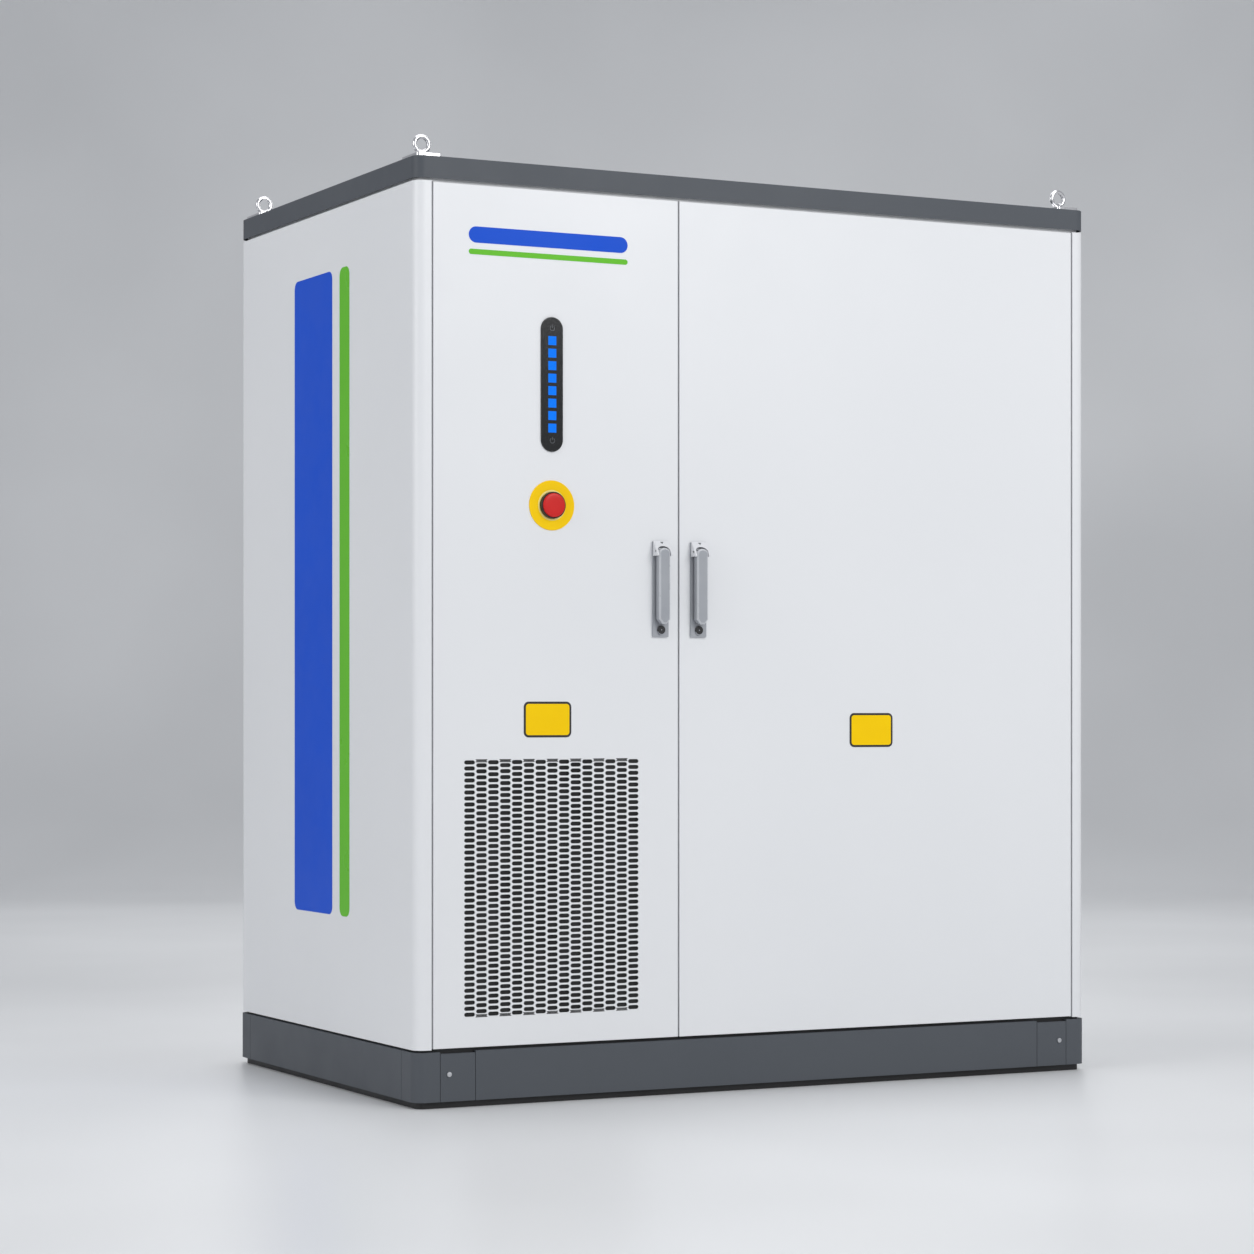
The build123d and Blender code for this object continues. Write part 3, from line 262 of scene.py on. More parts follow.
finishes = {
    "whitePaint": dict(color=(0.80, 0.81, 0.825), colorTwo=(0.775, 0.787, 0.803), gloss=0.36,
                       cloudScale=1.6, peelScale=420, peelDepth=0.00006, coat=0.15),
    "greyPaint": dict(color=(0.080, 0.089, 0.102), colorTwo=(0.086, 0.095, 0.108), gloss=0.50,
                      cloudScale=2.2, peelScale=480, peelDepth=0.00007, coat=0.0, shine=0.3),
    # black for the base frame: painted shade standing in for the shadow in the gap under the plinth
    "paintedShadeBlack": dict(color=(0.008, 0.008, 0.009), colorTwo=(0.012, 0.012, 0.013), gloss=0.5,
                       cloudScale=3, peelScale=420, peelDepth=0.00008, coat=0.0),
    "stripeBlue": dict(color=(0.0, 0.075, 0.60), colorTwo=(0.0, 0.08, 0.63), gloss=0.34,
                       cloudScale=3, peelScale=500, peelDepth=0.00003, coat=0.0, shine=0.15),
    "stripeGreen": dict(color=(0.125, 0.50, 0.02), colorTwo=(0.135, 0.53, 0.025), gloss=0.3,
                        cloudScale=3, peelScale=500, peelDepth=0.00003, coat=0.0, shine=0.15),
    "castGrey": dict(color=(0.33, 0.345, 0.375), colorTwo=(0.36, 0.375, 0.40), gloss=0.33,
                     cloudScale=18, peelScale=900, peelDepth=0.00005, coat=0.2),
    # a lighter copy of castGrey: painted highlight for the brightly lit handle head
    "castPaintedHighlight": dict(color=(0.70, 0.71, 0.73), colorTwo=(0.74, 0.75, 0.77), gloss=0.3,
                      cloudScale=18, peelScale=900, peelDepth=0.00004, coat=0.2),
    # a lighter copy of castGrey: painted highlight for the lit chamfer of the lever
    "castEdgePaintedHighlight": dict(color=(0.50, 0.515, 0.54), colorTwo=(0.54, 0.555, 0.58), gloss=0.3,
                     cloudScale=18, peelScale=900, peelDepth=0.00004, coat=0.2),
    "moduleBlack": dict(color=(0.035, 0.038, 0.043), colorTwo=(0.045, 0.048, 0.053), gloss=0.42,
                        cloudScale=5, peelScale=500, peelDepth=0.00008, coat=0.0),
    "bottleRed": dict(color=(0.55, 0.015, 0.012), colorTwo=(0.60, 0.02, 0.016), gloss=0.2,
                      cloudScale=5, peelScale=300, peelDepth=0.00005, coat=0.4),
}
metals = {
    "zincPlate": dict(color=(0.62, 0.63, 0.65), colorTwo=(0.50, 0.51, 0.53), gloss=0.34,
                      grainScale=60, stretch=(1, 1, 6), grainDepth=0.00003),
    "brightEye": dict(color=(0.82, 0.82, 0.83), colorTwo=(0.70, 0.70, 0.72), gloss=0.16,
                      grainScale=90, stretch=(1, 1, 1), grainDepth=0.00004),
    "rawAluminium": dict(color=(0.66, 0.67, 0.68), colorTwo=(0.58, 0.59, 0.61), gloss=0.36,
                         grainScale=40, stretch=(1, 12, 1), grainDepth=0.00003),
    "copper": dict(color=(0.80, 0.38, 0.22), colorTwo=(0.68, 0.30, 0.17), gloss=0.3,
                   grainScale=60, stretch=(1, 1, 8), grainDepth=0.00003),
}
plastics = {
    "gloveBlack": dict(color=(0.012, 0.012, 0.013), colorTwo=(0.018, 0.018, 0.020), gloss=0.42,
                       grainScale=700, grainDepth=0.00005),
    "barBlack": dict(color=(0.007, 0.008, 0.009), colorTwo=(0.010, 0.011, 0.012), gloss=0.16,
                     grainScale=300, grainDepth=0.00001),
    "deviceGrey": dict(color=(0.10, 0.105, 0.115), colorTwo=(0.12, 0.125, 0.135), gloss=0.45,
                       grainScale=600, grainDepth=0.00006),
    "signalYellow": dict(color=(0.95, 0.60, 0.0), colorTwo=(0.97, 0.63, 0.0), gloss=0.36,
                         grainScale=500, grainDepth=0.00003, shine=0.15),
    "paleYellow": dict(color=(0.93, 0.78, 0.25), colorTwo=(0.96, 0.82, 0.30), gloss=0.3,
                       grainScale=500, grainDepth=0.00002),
    "stopRed": dict(color=(0.60, 0.016, 0.014), colorTwo=(0.64, 0.020, 0.018), gloss=0.30,
                    grainScale=700, grainDepth=0.00004, shine=0.25),
    "softRubber": dict(color=(0.02, 0.02, 0.021), colorTwo=(0.03, 0.03, 0.031), gloss=0.7,
                       grainScale=500, grainDepth=0.0001),
    "filterFleece": dict(color=(0.012, 0.012, 0.012), colorTwo=(0.03, 0.03, 0.03), gloss=0.9,
                         grainScale=900, grainDepth=0.0008),
    "markGrey": dict(color=(0.10, 0.11, 0.12), colorTwo=(0.12, 0.13, 0.14), gloss=0.4,
                     grainScale=500, grainDepth=0.00002),
}
blueLens = dict(lens=(0.0, 0.01, 0.05), color=(0.0, 0.18, 0.95), colorTwo=(0.0, 0.21, 1.0), strength=0.95)
paint = {name: coatedMetal(name, look) for name, look in finishes.items()}
paint.update({name: bareMetal(name, look) for name, look in metals.items()})
paint.update({name: mouldedPlastic(name, look) for name, look in plastics.items()})
paint["blueLight"] = litSquare("blueLight", blueLens)
print("finishes ready:", len(paint))

# each solid of the pack gets its finish by material slot, apart from those in nodeFinish
slotFinish = {
    "white_paint": "whitePaint", "grey_paint": "greyPaint", "frame_zinc": "zincPlate",
    "lifting_steel": "brightEye", "handle_metal": "castGrey", "black_plastic": "gloveBlack",
    "device_plastic": "deviceGrey", "seal_rubber": "softRubber", "filter_mat": "filterFleece",
    "yellow_plastic": "signalYellow", "red_plastic": "stopRed", "blue_light": "blueLight",
    "module_case": "moduleBlack", "copper_bar": "copper", "aluminium_case": "rawAluminium",
    "bottle_red": "bottleRed",
}
# the base frame is painted black as painted shade for the gap under the plinth; the status bar housing is its
# own black
nodeFinish = {"base_frame": "paintedShadeBlack", "status_bar_housing": "barBlack"}
slotOf = {part["node"]: part["material_slot"] for part in frame["record"]["subparts"]}
for node, solid in frame["nodes"].items():
    finish = nodeFinish.get(node, slotFinish[slotOf[node]])
    solid.data.materials.clear()
    solid.data.materials.append(paint[finish])
print("solids dressed:", len(frame["nodes"]))


# intake grille, punched with obround slots; every second column is half a row lower
grilleLook = dict(flange=0.0035, seam=0.0001, columns=15, rows=43, stagger=0.5, slotWidth=0.0268,
                  slotHeight=0.0092, sheet=0.0020, arcSteps=4)
level = 1e-9  # a step this small counts as none


def slotCell(bm, x0, x1, z0, z1, y, slotLow, slotHigh, slotWidth, arcSteps):
    # one cell of the plate: its rectangle with an obround hole, as a band of quads
    middleX = (x0 + x1) / 2
    middleZ = (slotLow + slotHigh) / 2
    radius = (slotHigh - slotLow) / 2
    half = slotWidth / 2 - radius
    hole = []
    for side in (1, -1):
        for step in range(arcSteps + 1):
            angle = math.radians(-90 + 180 * step / arcSteps)
            hole.append((middleX + side * (half + radius * math.cos(angle)),
                         middleZ + side * radius * math.sin(angle)))
    rim = []
    for x, z in hole:
        dx = x - middleX
        dz = z - middleZ
        reachX = (x1 - middleX) / abs(dx) if abs(dx) > level else math.inf
        reachZ = ((z1 if dz > 0 else z0) - middleZ) / dz if abs(dz) > level else math.inf
        reach = min(reachX, reachZ)
        rim.append((middleX + dx * reach, middleZ + dz * reach))
    inner = [bm.verts.new((x, y, z)) for x, z in hole]
    outer = [bm.verts.new((x, y, z)) for x, z in rim]
    corners = {(sx, sz): bm.verts.new((x1 if sx > 0 else x0, y, z1 if sz > 0 else z0))
               for sx in (1, -1) for sz in (1, -1)}
    count = len(hole)
    for i in range(count):
        j = (i + 1) % count
        face = [inner[i], inner[j], outer[j]]
        a = outer[i].co
        b = outer[j].co
        turnsCorner = abs(a.x - b.x) > weldDistance / 10 and abs(a.z - b.z) > weldDistance / 10
        if turnsCorner:
            sx = 1 if max(a.x, b.x) > x1 - weldDistance else -1
            sz = 1 if max(a.z, b.z) > z1 - weldDistance else -1
            face.append(corners[(sx, sz)])
        face.append(outer[i])
        bm.faces.new(face)


def makeGrille(look):
    low, high = boxOf("intake_grille")
    inset = look["flange"] + look["seam"]
    low = low + Vector((inset, 0, inset))
    high = high - Vector((inset, 0, inset))
    bm = bmesh.new()
    pitchX = (high.x - low.x) / look["columns"]
    pitchZ = (high.z - low.z) / look["rows"]
    y = low.y + look["sheet"]
    for column in range(look["columns"]):
        x0 = low.x + column * pitchX
        x1 = x0 + pitchX
        odd = column % 2
        edges = [low.z + pitchZ * (row - look["stagger"] * odd) for row in range(look["rows"] + 1 + odd)]
        for z0, z1 in zip(edges, edges[1:]):
            cellLow = max(z0, low.z)
            cellHigh = min(z1, high.z)
            web = (pitchZ - look["slotHeight"]) / 2
            slotLow = z0 + web if z0 >= low.z - weldDistance else cellLow + web
            slotHigh = z1 - web if z1 <= high.z + weldDistance else cellHigh - web
            slotCell(bm, x0, x1, cellLow, cellHigh, y, slotLow, slotHigh, look["slotWidth"], look["arcSteps"])
    bmesh.ops.remove_doubles(bm, verts=bm.verts, dist=weldDistance)
    piece = meshPiece("punchedGrille", bm, paint["whitePaint"])
    thick = piece.modifiers.new("sheet", "SOLIDIFY")
    thick.thickness = look["sheet"]
    thick.offset = 1 if piece.data.polygons[0].normal.y < 0 else -1
    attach(piece, "left_door")
    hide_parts("intake_grille")


makeGrille(grilleLook)
print("grille punched")


# generic stripes in two colours, on the left side and on the left door
stripeLook = dict(film=0.0004, sideBlue=(0.240, 1.50), sideGreen=(0.060, 1.50), sideGap=0.045,
                  frontBlue=(0.395, 0.036), frontGreen=(0.395, 0.012), frontGap=0.014, radius=0.020,
                  sideUp=0.065, sideBack=0.018, frontIn=0.283, frontDown=0.110)


def stripe(name, size, centre, across, upward, out, finish, body):
    bm = bmesh.new()
    outline = roundedOutline(size[0], size[1], min(stripeLook["radius"], min(size) / 2))
    slab(bm, outline, centre, across, upward, out, stripeLook["film"])
    piece = meshPiece(name, bm, paint[finish])
    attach(piece, body)


def makeStripes(look):
    low, high = boxOf("side_panels")
    middle = (low.z + high.z) / 2 + look["sideUp"]
    sideY = (low.y + high.y) / 2 + look["sideBack"]
    blueY = sideY + look["sideGreen"][0] / 2 + look["sideGap"] / 2
    greenY = sideY - look["sideBlue"][0] / 2 - look["sideGap"] / 2
    stripe("sideStripeBlue", look["sideBlue"], Vector((low.x, blueY, middle)), towardsFront, up, towardsLeft,
           "stripeBlue", "cabinet")
    stripe("sideStripeGreen", look["sideGreen"], Vector((low.x, greenY, middle)), towardsFront, up, towardsLeft,
           "stripeGreen", "cabinet")
    doorLow, doorHigh = boxOf("left_door_skin")
    x = doorLow.x + look["frontIn"]
    z = doorHigh.z - look["frontDown"]
    stripe("frontStripeBlue", look["frontBlue"], Vector((x, doorLow.y, z)), right, up, towardsFront,
           "stripeBlue", "left_door")
    greenZ = z - look["frontBlue"][1] / 2 - look["frontGap"] - look["frontGreen"][1] / 2
    stripe("frontStripeGreen", look["frontGreen"], Vector((x, doorLow.y, greenZ)), right, up, towardsFront,
           "stripeGreen", "left_door")


makeStripes(stripeLook)


# blank yellow plates with a dark rim; a place is metres in from the door's left edge and up from the floor
plateLook = dict(width=0.118, height=0.080, radius=0.012, rim=0.005, film=0.0006,
                 leftPlace=(0.279, 0.858), rightPlace=(0.512, 0.832))


def makeBlankPlate(name, skin, place, body, look):
    low = boxOf(skin)[0]
    centre = Vector((low.x + place[0], low.y, place[1]))
    bm = bmesh.new()
    slab(bm, roundedOutline(look["width"], look["height"], look["radius"]), centre, right, up,
         towardsFront, look["film"])
    rim = meshPiece(name + "Rim", bm, paint["gloveBlack"])
    bm = bmesh.new()
    inner = roundedOutline(look["width"] - 2 * look["rim"], look["height"] - 2 * look["rim"],
                           look["radius"] - look["rim"])
    slab(bm, inner, centre + towardsFront * look["film"], right, up, towardsFront, look["film"])
    face = meshPiece(name + "Face", bm, paint["signalYellow"])
    for piece, slotName in ((rim, "black_plastic"), (face, "yellow_plastic")):
        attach(piece, body)


makeBlankPlate("leftPlate", "left_door_skin", plateLook["leftPlace"], "left_door", plateLook)
makeBlankPlate("rightPlate", "right_door_skin", plateLook["rightPlace"], "right_door", plateLook)
print("livery and plates placed")


# a small open ring with a tick near each end of the status bar
markLook = dict(radius=0.0062, line=0.0011, fromEnd=0.025, film=0.0003, steps=40, arcFrom=120, arcTurn=300,
                tickLow=0.001, tickHigh=0.0075)


def makeBarMarks(look):
    low, high = boxOf("status_bar_housing")
    x = (low.x + high.x) / 2
    half = look["line"] / 2
    tick = [(-half, look["tickLow"]), (half, look["tickLow"]), (half, look["tickHigh"]),
            (-half, look["tickHigh"])]
    bm = bmesh.new()
    for z in (low.z + look["fromEnd"], high.z - look["fromEnd"]):
        centre = Vector((x, low.y, z))
        outer = []
        inner = []
        for i in range(look["steps"] + 1):
            angle = math.radians(look["arcFrom"] + look["arcTurn"] * i / look["steps"])
            spoke = right * math.cos(angle) + up * math.sin(angle)
            outer.append(bm.verts.new(centre + spoke * look["radius"] + towardsFront * look["film"]))
            inner.append(bm.verts.new(centre + spoke * (look["radius"] - look["line"])
                                      + towardsFront * look["film"]))
        for i in range(look["steps"]):
            bm.faces.new([outer[i], outer[i + 1], inner[i + 1], inner[i]])
        slab(bm, tick, centre, right, up, towardsFront, look["film"])
    piece = meshPiece("barMarks", bm, paint["markGrey"])
    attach(piece, "left_door")


makeBarMarks(markLook)
print("bar marks placed")


# emergency stop: shrouded collar, plunger, red button and contact block
# buttonProfile holds shares of the button's radius and of its height, from the rim at the back to the middle
stopLook = dict(steps=96, bore=0.0052, barrel=0.011, barrelBack=0.004, pocket=0.0279, pocketFloor=0.0006,
                collar=0.030, collarProud=0.010, edge=0.0008, buttonBack=0.0070, buttonTall=0.0080,
                lipInner=0.0305, lipOuter=0.0335, lipProud=0.0008, blockSize=0.040, blockRound=0.003,
                blockEdge=0.0008, doorSkin=0.002, screwRadius=0.0032, screwProud=0.0006, screwPlace=0.28,
                screwTop=0.8, screwSteps=24, plungerSteps=48, boreDeep=0.5,
                buttonProfile=[(0.95, 0), (0.985, 0.08), (1, 0.25), (1, 0.52), (0.99, 0.68), (0.955, 0.84),
                               (0.90, 0.94), (0.80, 0.985), (0.5, 1), (0, 1)])


def makeStopCollar(centre, look):
    edge = look["edge"]
    proud = look["collarProud"]
    profile = [(look["bore"], look["pocketFloor"]), (look["pocket"], look["pocketFloor"]),
               (look["pocket"], proud - edge), (look["pocket"] + edge / 2, proud),
               (look["collar"] - edge, proud), (look["collar"], proud - edge), (look["collar"], 0),
               (look["barrel"], 0), (look["barrel"], -look["barrelBack"]), (look["bore"], -look["barrelBack"]),
               (look["bore"], look["pocketFloor"])]
    bm = bmesh.new()
    lathe(bm, profile, centre, towardsFront, right, look["steps"])
    bmesh.ops.remove_doubles(bm, verts=bm.verts, dist=weldDistance)
    collar = meshPiece("stopCollar", bm, paint["gloveBlack"])
    bm = bmesh.new()
    lip = [(look["lipInner"], 0), (look["lipInner"], look["lipProud"]),
           (look["lipOuter"], look["lipProud"]), (look["lipOuter"] + look["lipProud"], 0),
           (look["lipInner"], 0)]
    lathe(bm, lip, centre, towardsFront, right, look["steps"])
    bmesh.ops.remove_doubles(bm, verts=bm.verts, dist=weldDistance)
    ring = meshPiece("stopPlateLip", bm, paint["paleYellow"])
    for piece, slotName in ((collar, "black_plastic"), (ring, "yellow_plastic")):
        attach(piece, "left_door")
    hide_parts("emergency_stop_body")


def makeContactBlock(look):
    # behind the door skin, with four terminal screws
    low, high = boxOf("emergency_stop_body")
    x = (low.x + high.x) / 2
    z = (low.z + high.z) / 2
    skinBack = boxOf("emergency_stop_plate")[1].y + look["doorSkin"]
    bm = bmesh.new()
    outline = roundedOutline(look["blockSize"], look["blockSize"], look["blockRound"])
    slab(bm, outline, Vector((x, high.y, z)), right, up, towardsFront, high.y - skinBack)
    block = meshPiece("stopContactBlock", bm, paint["deviceGrey"])
    addBevel(block, look["blockEdge"])
    bm = bmesh.new()
    offset = look["blockSize"] * look["screwPlace"]
    radius = look["screwRadius"]
    proud = look["screwProud"]
    profile = [(0, 0), (radius, 0), (radius * look["screwTop"], -proud), (0, -proud)]
    for sx in (-1, 1):
        for sz in (-1, 1):
            place = Vector((x + sx * offset, high.y - proud, z + sz * offset))
            lathe(bm, profile, place, towardsFront, right, look["screwSteps"])
    screws = meshPiece("stopTerminalScrews", bm, paint["zincPlate"])
    for piece, slotName in ((block, "device_plastic"), (screws, "frame_zinc")):
        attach(piece, "left_door")


def makeStopPlunger(centre, look):
    low, high = boxOf("emergency_stop_plunger")
    radius = (high.x - low.x) / 2
    front = look["buttonBack"] + look["buttonTall"] / 2
    back = centre.y - high.y
    bm = bmesh.new()
    profile = [(0, back), (radius, back), (radius, front), (0, front)]
    lathe(bm, profile, centre, towardsFront, right, look["plungerSteps"])
    piece = meshPiece("stopPlunger", bm, paint["zincPlate"])
    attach(piece, "stop_plunger")
    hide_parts("emergency_stop_plunger")


def makeStopButton(centre, look):
    low, high = boxOf("emergency_stop_button")
    radius = (high.x - low.x) / 2
    back = look["buttonBack"]
    tall = look["buttonTall"]
    bore = look["bore"]
    profile = [(bore, back + tall * look["boreDeep"]), (bore, back)]
    profile += [(radius * wide, back + tall * along) for wide, along in look["buttonProfile"]]
    bm = bmesh.new()
    lathe(bm, profile, centre, towardsFront, right, look["steps"])
    piece = meshPiece("stopMushroom", bm, paint["stopRed"], smooth=True)
    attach(piece, "stop_button")
    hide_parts("emergency_stop_button")


plateLow, plateHigh = boxOf("emergency_stop_plate")
stopCentre = Vector(((plateLow.x + plateHigh.x) / 2, plateLow.y, (plateLow.z + plateHigh.z) / 2))
makeStopCollar(stopCentre, stopLook)
makeContactBlock(stopLook)
makeStopPlunger(stopCentre, stopLook)
makeStopButton(stopCentre, stopLook)
print("emergency stop made")


# swing handles: wedge-shaped head on its spindle, lighter than the lever as a painted highlight, chamfered
# lever whose chamfer carries a painted highlight, and dark lock barrel
# barrelProfile holds shares of the barrel's radius and metres out from the plate's face
handleLook = dict(chamferWidth=0.0040, chamferDepth=0.0036, backRadius=0.0012, arcSteps=24, footCut=0.011,
                  footWidth=0.0055, headTall=0.034, headLip=0.0045, headTop=0.0028, cheek=0.0049,
                  archBase=0.0020, archRise=0.0092, markWidth=0.0085, markTall=0.0052, markDrop=0.0050,
                  barrelRadius=0.0095, barrelUp=0.016, spindleRadius=0.008, pinRadius=0.0025, edge=0.0006,
                  plateSet=0.005, plateGap=0.0003, leverGap=0.0004, cutDown=0.06, cutStart=0.002, cutDeep=0.06,
                  pinSteps=32, roundSteps=48, markFilm=0.0004, footShare=0.4, topShare=0.66, edgeSteps=2,
                  leverAngle=20, barrelProfile=[(1, -0.0039), (1, 0.0001), (0.9, 0.0005), (0.16, 0.0005),
                                                (0.12, -0.0010), (0, -0.0010)])


def cutAway(piece, cutter):
    cut = piece.modifiers.new("cut", "BOOLEAN")
    cut.operation = "DIFFERENCE"
    cut.solver = "EXACT"
    cut.object = cutter
    bpy.context.view_layer.update()
    seen = piece.evaluated_get(bpy.context.evaluated_depsgraph_get())
    mesh = bpy.data.meshes.new_from_object(seen)
    piece.modifiers.clear()
    piece.data = mesh
    bpy.data.objects.remove(cutter)


def makeHead(side, look):
    # a wedge that slopes out to the lever's face, hollowed for the lever
    low, high = boxOf(side + "_handle_swivel")
    plateFront = boxOf(side + "_handle_plate")[1].y - look["plateSet"]
    leverLow, leverHigh = boxOf(side + "_handle_lever")
    x = (low.x + high.x) / 2
    half = (high.x - low.x) / 2
    back = plateFront - look["plateGap"]
    front = leverLow.y - look["leverGap"]
    pinY = (leverLow.y + leverHigh.y) / 2
    pinZ = leverHigh.z - (leverHigh.y - leverLow.y) / 2
    top = high.z
    bottom = top - look["headTall"]
    outline = [(back, bottom), (back, top), (back - look["headTop"], top),
               (front, bottom + look["headLip"]), (front, bottom)]
    bm = bmesh.new()
    flat = [(-y, z) for y, z in outline]
    slab(bm, flat, Vector((x - half, 0, 0)), towardsFront, up, right, 2 * half)
    # the head takes the lighter copy of the cast grey, a painted highlight
    head = meshPiece(side + "HandleHead", bm, paint["castPaintedHighlight"])
    slot = half - look["cheek"]
    arch = archPoints(slot, look["archRise"], look["archBase"], look["arcSteps"])
    arch += [(-slot, -look["cutDown"]), (slot, -look["cutDown"])]
    bm = bmesh.new()
    slab(bm, arch, Vector((x, back + look["cutStart"], pinZ)), right, up, towardsFront, look["cutDeep"])
    cutAway(head, meshPiece("headCutter", bm, paint["castPaintedHighlight"]))
    addBevel(head, look["edge"], look["edgeSteps"])
    bm = bmesh.new()
    lathe(bm, [(0, 0), (look["pinRadius"], 0), (look["pinRadius"], 2 * half), (0, 2 * half)],
          Vector((x - half, pinY, pinZ)), right, up, look["pinSteps"])
    pin = meshPiece(side + "HandlePin", bm, paint["zincPlate"])
    spindleTall = high.y - back
    bm = bmesh.new()
    spindle = [(0, 0), (look["spindleRadius"] - look["edge"], 0), (look["spindleRadius"], look["edge"]),
               (look["spindleRadius"], spindleTall), (0, spindleTall)]
    lathe(bm, spindle, Vector((x, high.y, pinZ)), towardsFront, right, look["roundSteps"])
    shaft = meshPiece(side + "HandleSpindle", bm, paint["zincPlate"])
    slope = Vector((0, front - back + look["headTop"], -look["headTall"] + look["headLip"])).normalized()
    outward = Vector((0, slope.z, -slope.y))
    centre = Vector((x, back - look["headTop"], top)) + slope * look["markDrop"]
    wide = look["markWidth"] / 2
    tall = look["markTall"] / 2
    bm = bmesh.new()
    slab(bm, [(-wide, -tall), (wide, -tall), (0, tall)], centre, right, slope, outward, look["markFilm"])
    mark = meshPiece(side + "HeadMark", bm, paint["markGrey"])
    for piece, slotName in ((head, "handle_metal"), (pin, "handle_metal"), (shaft, "handle_metal"),
                            (mark, "device_plastic")):
        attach(piece, side + "_handle")
    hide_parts(side + "_handle_swivel")


def leverOutline(halfWidth, low, high, look, inset):
    # arch at the top, cut corners at the foot
    half = halfWidth - inset
    points = archPoints(half, half, high - halfWidth, look["arcSteps"])
    cut = look["footCut"] + inset * look["footShare"]
    foot = look["footWidth"] - inset * look["footShare"]
    points += [(-half, low + cut), (-foot, low + inset), (foot, low + inset), (half, low + cut)]
    return points


def makeLever(side, look):
    low, high = boxOf(side + "_handle_lever")
    x = (low.x + high.x) / 2
    half = (high.x - low.x) / 2
    full = leverOutline(half, low.z, high.z, look, 0)
    small = leverOutline(half, low.z, high.z, look, look["chamferWidth"])
    tight = leverOutline(half, low.z, high.z, look, look["backRadius"])
    levels = [(high.y, tight), (high.y - look["backRadius"], full),
              (low.y + look["chamferDepth"], full), (low.y, small)]
    # the top end is rounded about the cross pin, seen from the side
    pinRadius = (high.y - low.y) / 2
    pinZ = high.z - pinRadius
    pinY = (low.y + high.y) / 2
    bm = bmesh.new()
    rings = []
    for y, outline in levels:
        roundPart = pinRadius ** 2 - (y - pinY) ** 2
        reach = math.sqrt(max(roundPart, (look["topShare"] * pinRadius) ** 2)) / pinRadius
        rings.append([bm.verts.new((x + px, y, pinZ + (pz - pinZ) * reach if pz > pinZ else pz))
                      for px, pz in outline])
    count = len(rings[0])
    # the chamfer band takes a lighter copy of the lever's grey, a painted highlight for the lit chamfer
    chamfer = len(rings) - 2  # the last band, which takes the lighter finish
    for band, (a, b) in enumerate(zip(rings, rings[1:])):
        for i in range(count):
            j = (i + 1) % count
            face = bm.faces.new([a[i], a[j], b[j], b[i]])
            face.material_index = 1 if band == chamfer else 0
    bm.faces.new(rings[0])
    bm.faces.new(list(reversed(rings[-1])))
    piece = meshPiece(side + "Lever", bm, paint["castGrey"])
    # second slot: the painted highlight on the chamfer
    piece.data.materials.append(paint["castEdgePaintedHighlight"])
    addBevel(piece, look["edge"], look["edgeSteps"], look["leverAngle"])
    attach(piece, side + "_lever")
    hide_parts(side + "_handle_lever")


def makeLockBarrel(side, look):
    low, high = boxOf(side + "_handle_plate")
    x = (low.x + high.x) / 2
    profile = [(look["barrelRadius"] * wide, along) for wide, along in look["barrelProfile"]]
    bm = bmesh.new()
    lathe(bm, profile, Vector((x, low.y, low.z + look["barrelUp"])), towardsFront, right, look["roundSteps"])
    piece = meshPiece(side + "LockBarrel", bm, paint["gloveBlack"])
    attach(piece, side + "_door")


for side in ("left", "right"):
    makeHead(side, handleLook)
    makeLever(side, handleLook)
    makeLockBarrel(side, handleLook)
print("handles made")


# paper cove behind the cabinet, turned square to the camera, and an even sky
studioLook = dict(floorColor=(0.72, 0.73, 0.74), wallColor=(0.80, 0.81, 0.82), paperClouds=0.6,
                  paperRoughness=0.35, reach=14, back=7.0, curve=2.5, curveSteps=12, wallTop=12.0,
                  widen=1.6, turn=27, worldColor=(0.93, 0.95, 1.0), worldStrength=0.46)


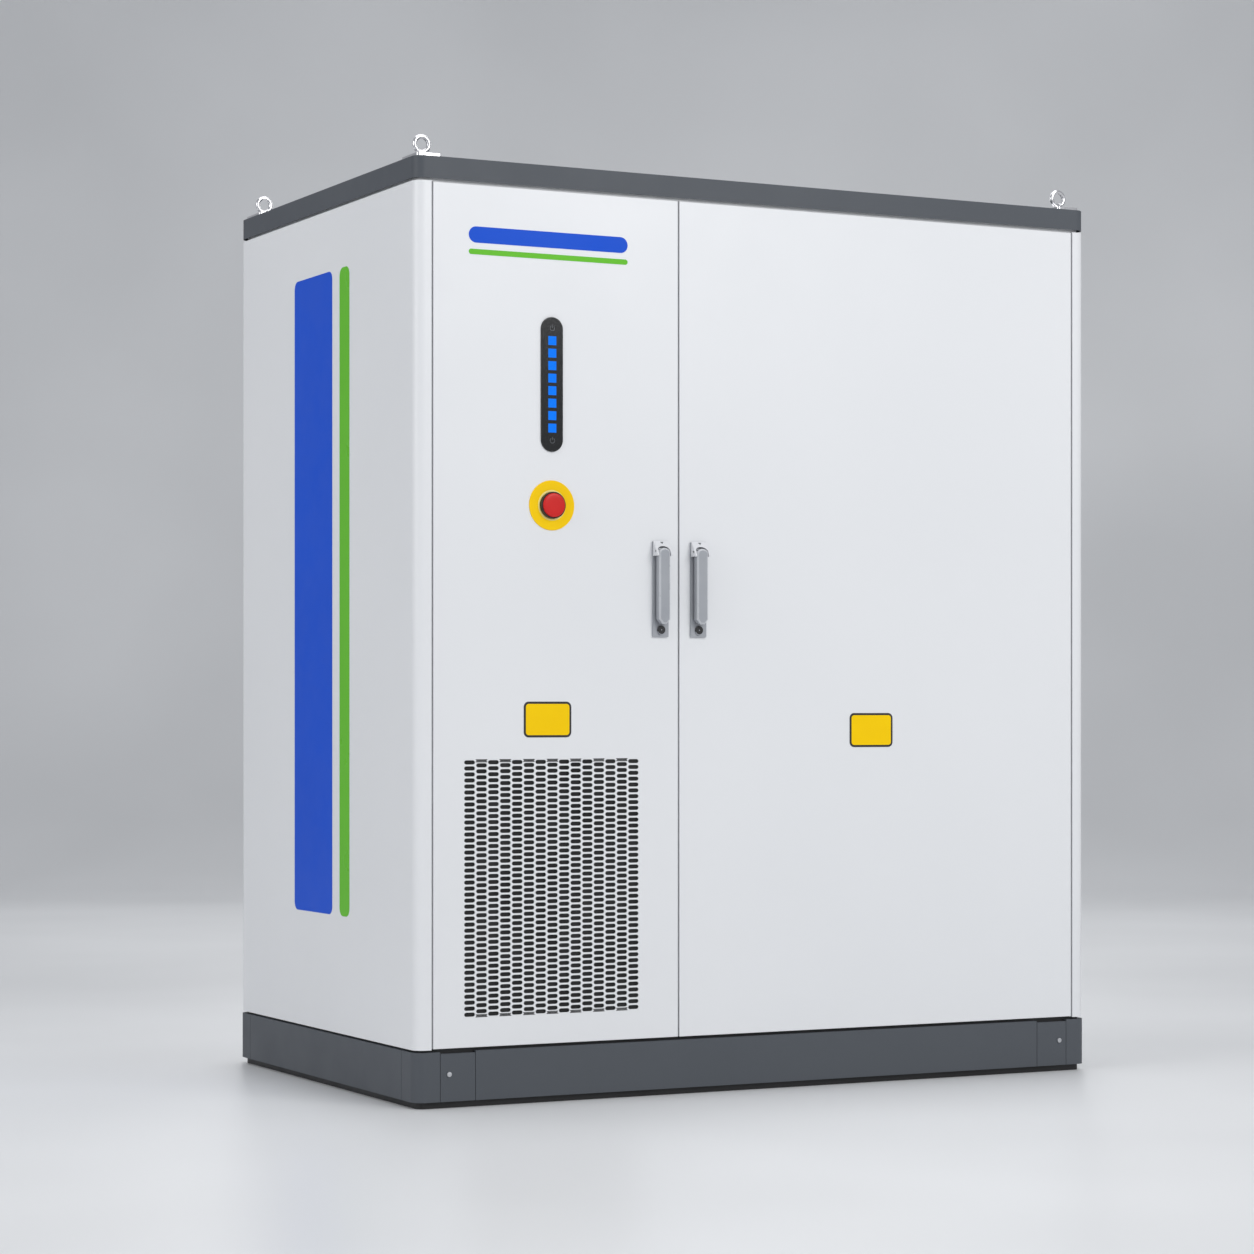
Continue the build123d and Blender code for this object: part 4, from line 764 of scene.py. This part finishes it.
def makeStudio(look):
    bm = bmesh.new()
    reach = look["reach"]
    back = look["back"]
    curve = look["curve"]
    profile = [(-reach, 0.0), (back, 0.0)]
    for step in range(1, look["curveSteps"] + 1):
        angle = math.radians(90 * step / look["curveSteps"])
        profile.append((back + curve * math.sin(angle), curve * (1 - math.cos(angle))))
    profile.append((back + curve, look["wallTop"]))
    rows = [[bm.verts.new((sx * reach * look["widen"], y, z)) for sx in (-1, 1)] for y, z in profile]
    for a, b in zip(rows, rows[1:]):
        bm.faces.new([a[0], a[1], b[1], b[0]])
    material, shader = newMaterial("studioPaper")
    links = material.node_tree.links
    clouds = objectNoise(material, look["paperClouds"], surface["fineDetail"])
    links.new(tint(material, spread(material, clouds, 0, 1), look["floorColor"], look["wallColor"]),
              shader.inputs["Base Color"])
    shader.inputs["Roughness"].default_value = look["paperRoughness"]
    cove = meshPiece("studioCove", bm, material, smooth=True)
    cove.rotation_euler.z = -math.radians(look["turn"])
    world = bpy.data.worlds.new("studioWorld")
    world.use_nodes = True
    sky = world.node_tree.nodes["Background"]
    sky.inputs[0].default_value = (*look["worldColor"], 1)
    sky.inputs[1].default_value = look["worldStrength"]
    bpy.context.scene.world = world


lampLook = [
    dict(name="keySoftbox", at=(1.5, -6.5, 4.5), aim=(0.2, 0, 1.1), size=(4.5, 3.5), power=235),
    dict(name="leftSoftbox", at=(-6.0, -1.0, 3.0), aim=(-0.9, 0, 1.0), size=(3.0, 3.5), power=92),
    dict(name="topSoftbox", at=(0.0, 0.5, 6.0), aim=(0, 0, 1.0), size=(5.0, 4.0), power=110),
    dict(name="backSoftbox", at=(3.0, 6.0, 4.0), aim=(0, 0, 1.2), size=(4.0, 3.0), power=95),
]


def makeLamps(lamps):
    for lamp in lamps:
        light = bpy.data.lights.new(lamp["name"], "AREA")
        light.shape = "RECTANGLE"
        light.size, light.size_y = lamp["size"]
        light.energy = lamp["power"]
        holder = bpy.data.objects.new(lamp["name"], light)
        holder.location = lamp["at"]
        holder.rotation_euler = (Vector(lamp["aim"]) - Vector(lamp["at"])).to_track_quat("-Z", "Y").to_euler()
        bpy.context.scene.collection.objects.link(holder)


cameraLook = dict(at=(-3.7236, -7.1013, 0.8804), yaw=27.115, lens=93.136, sensor=36, shiftY=0.0658)


def makeCamera(look):
    camera = bpy.data.cameras.new("camera")
    camera.lens = look["lens"]
    camera.sensor_width = look["sensor"]
    camera.shift_y = look["shiftY"]
    holder = bpy.data.objects.new("camera", camera)
    holder.location = look["at"]
    holder.rotation_euler = (math.radians(90), 0, -math.radians(look["yaw"]))
    bpy.context.scene.collection.objects.link(holder)
    bpy.context.scene.camera = holder


makeStudio(studioLook)
makeLamps(lampLook)
makeCamera(cameraLook)
bpy.context.scene.view_settings.view_transform = "Standard"
print("studio set")
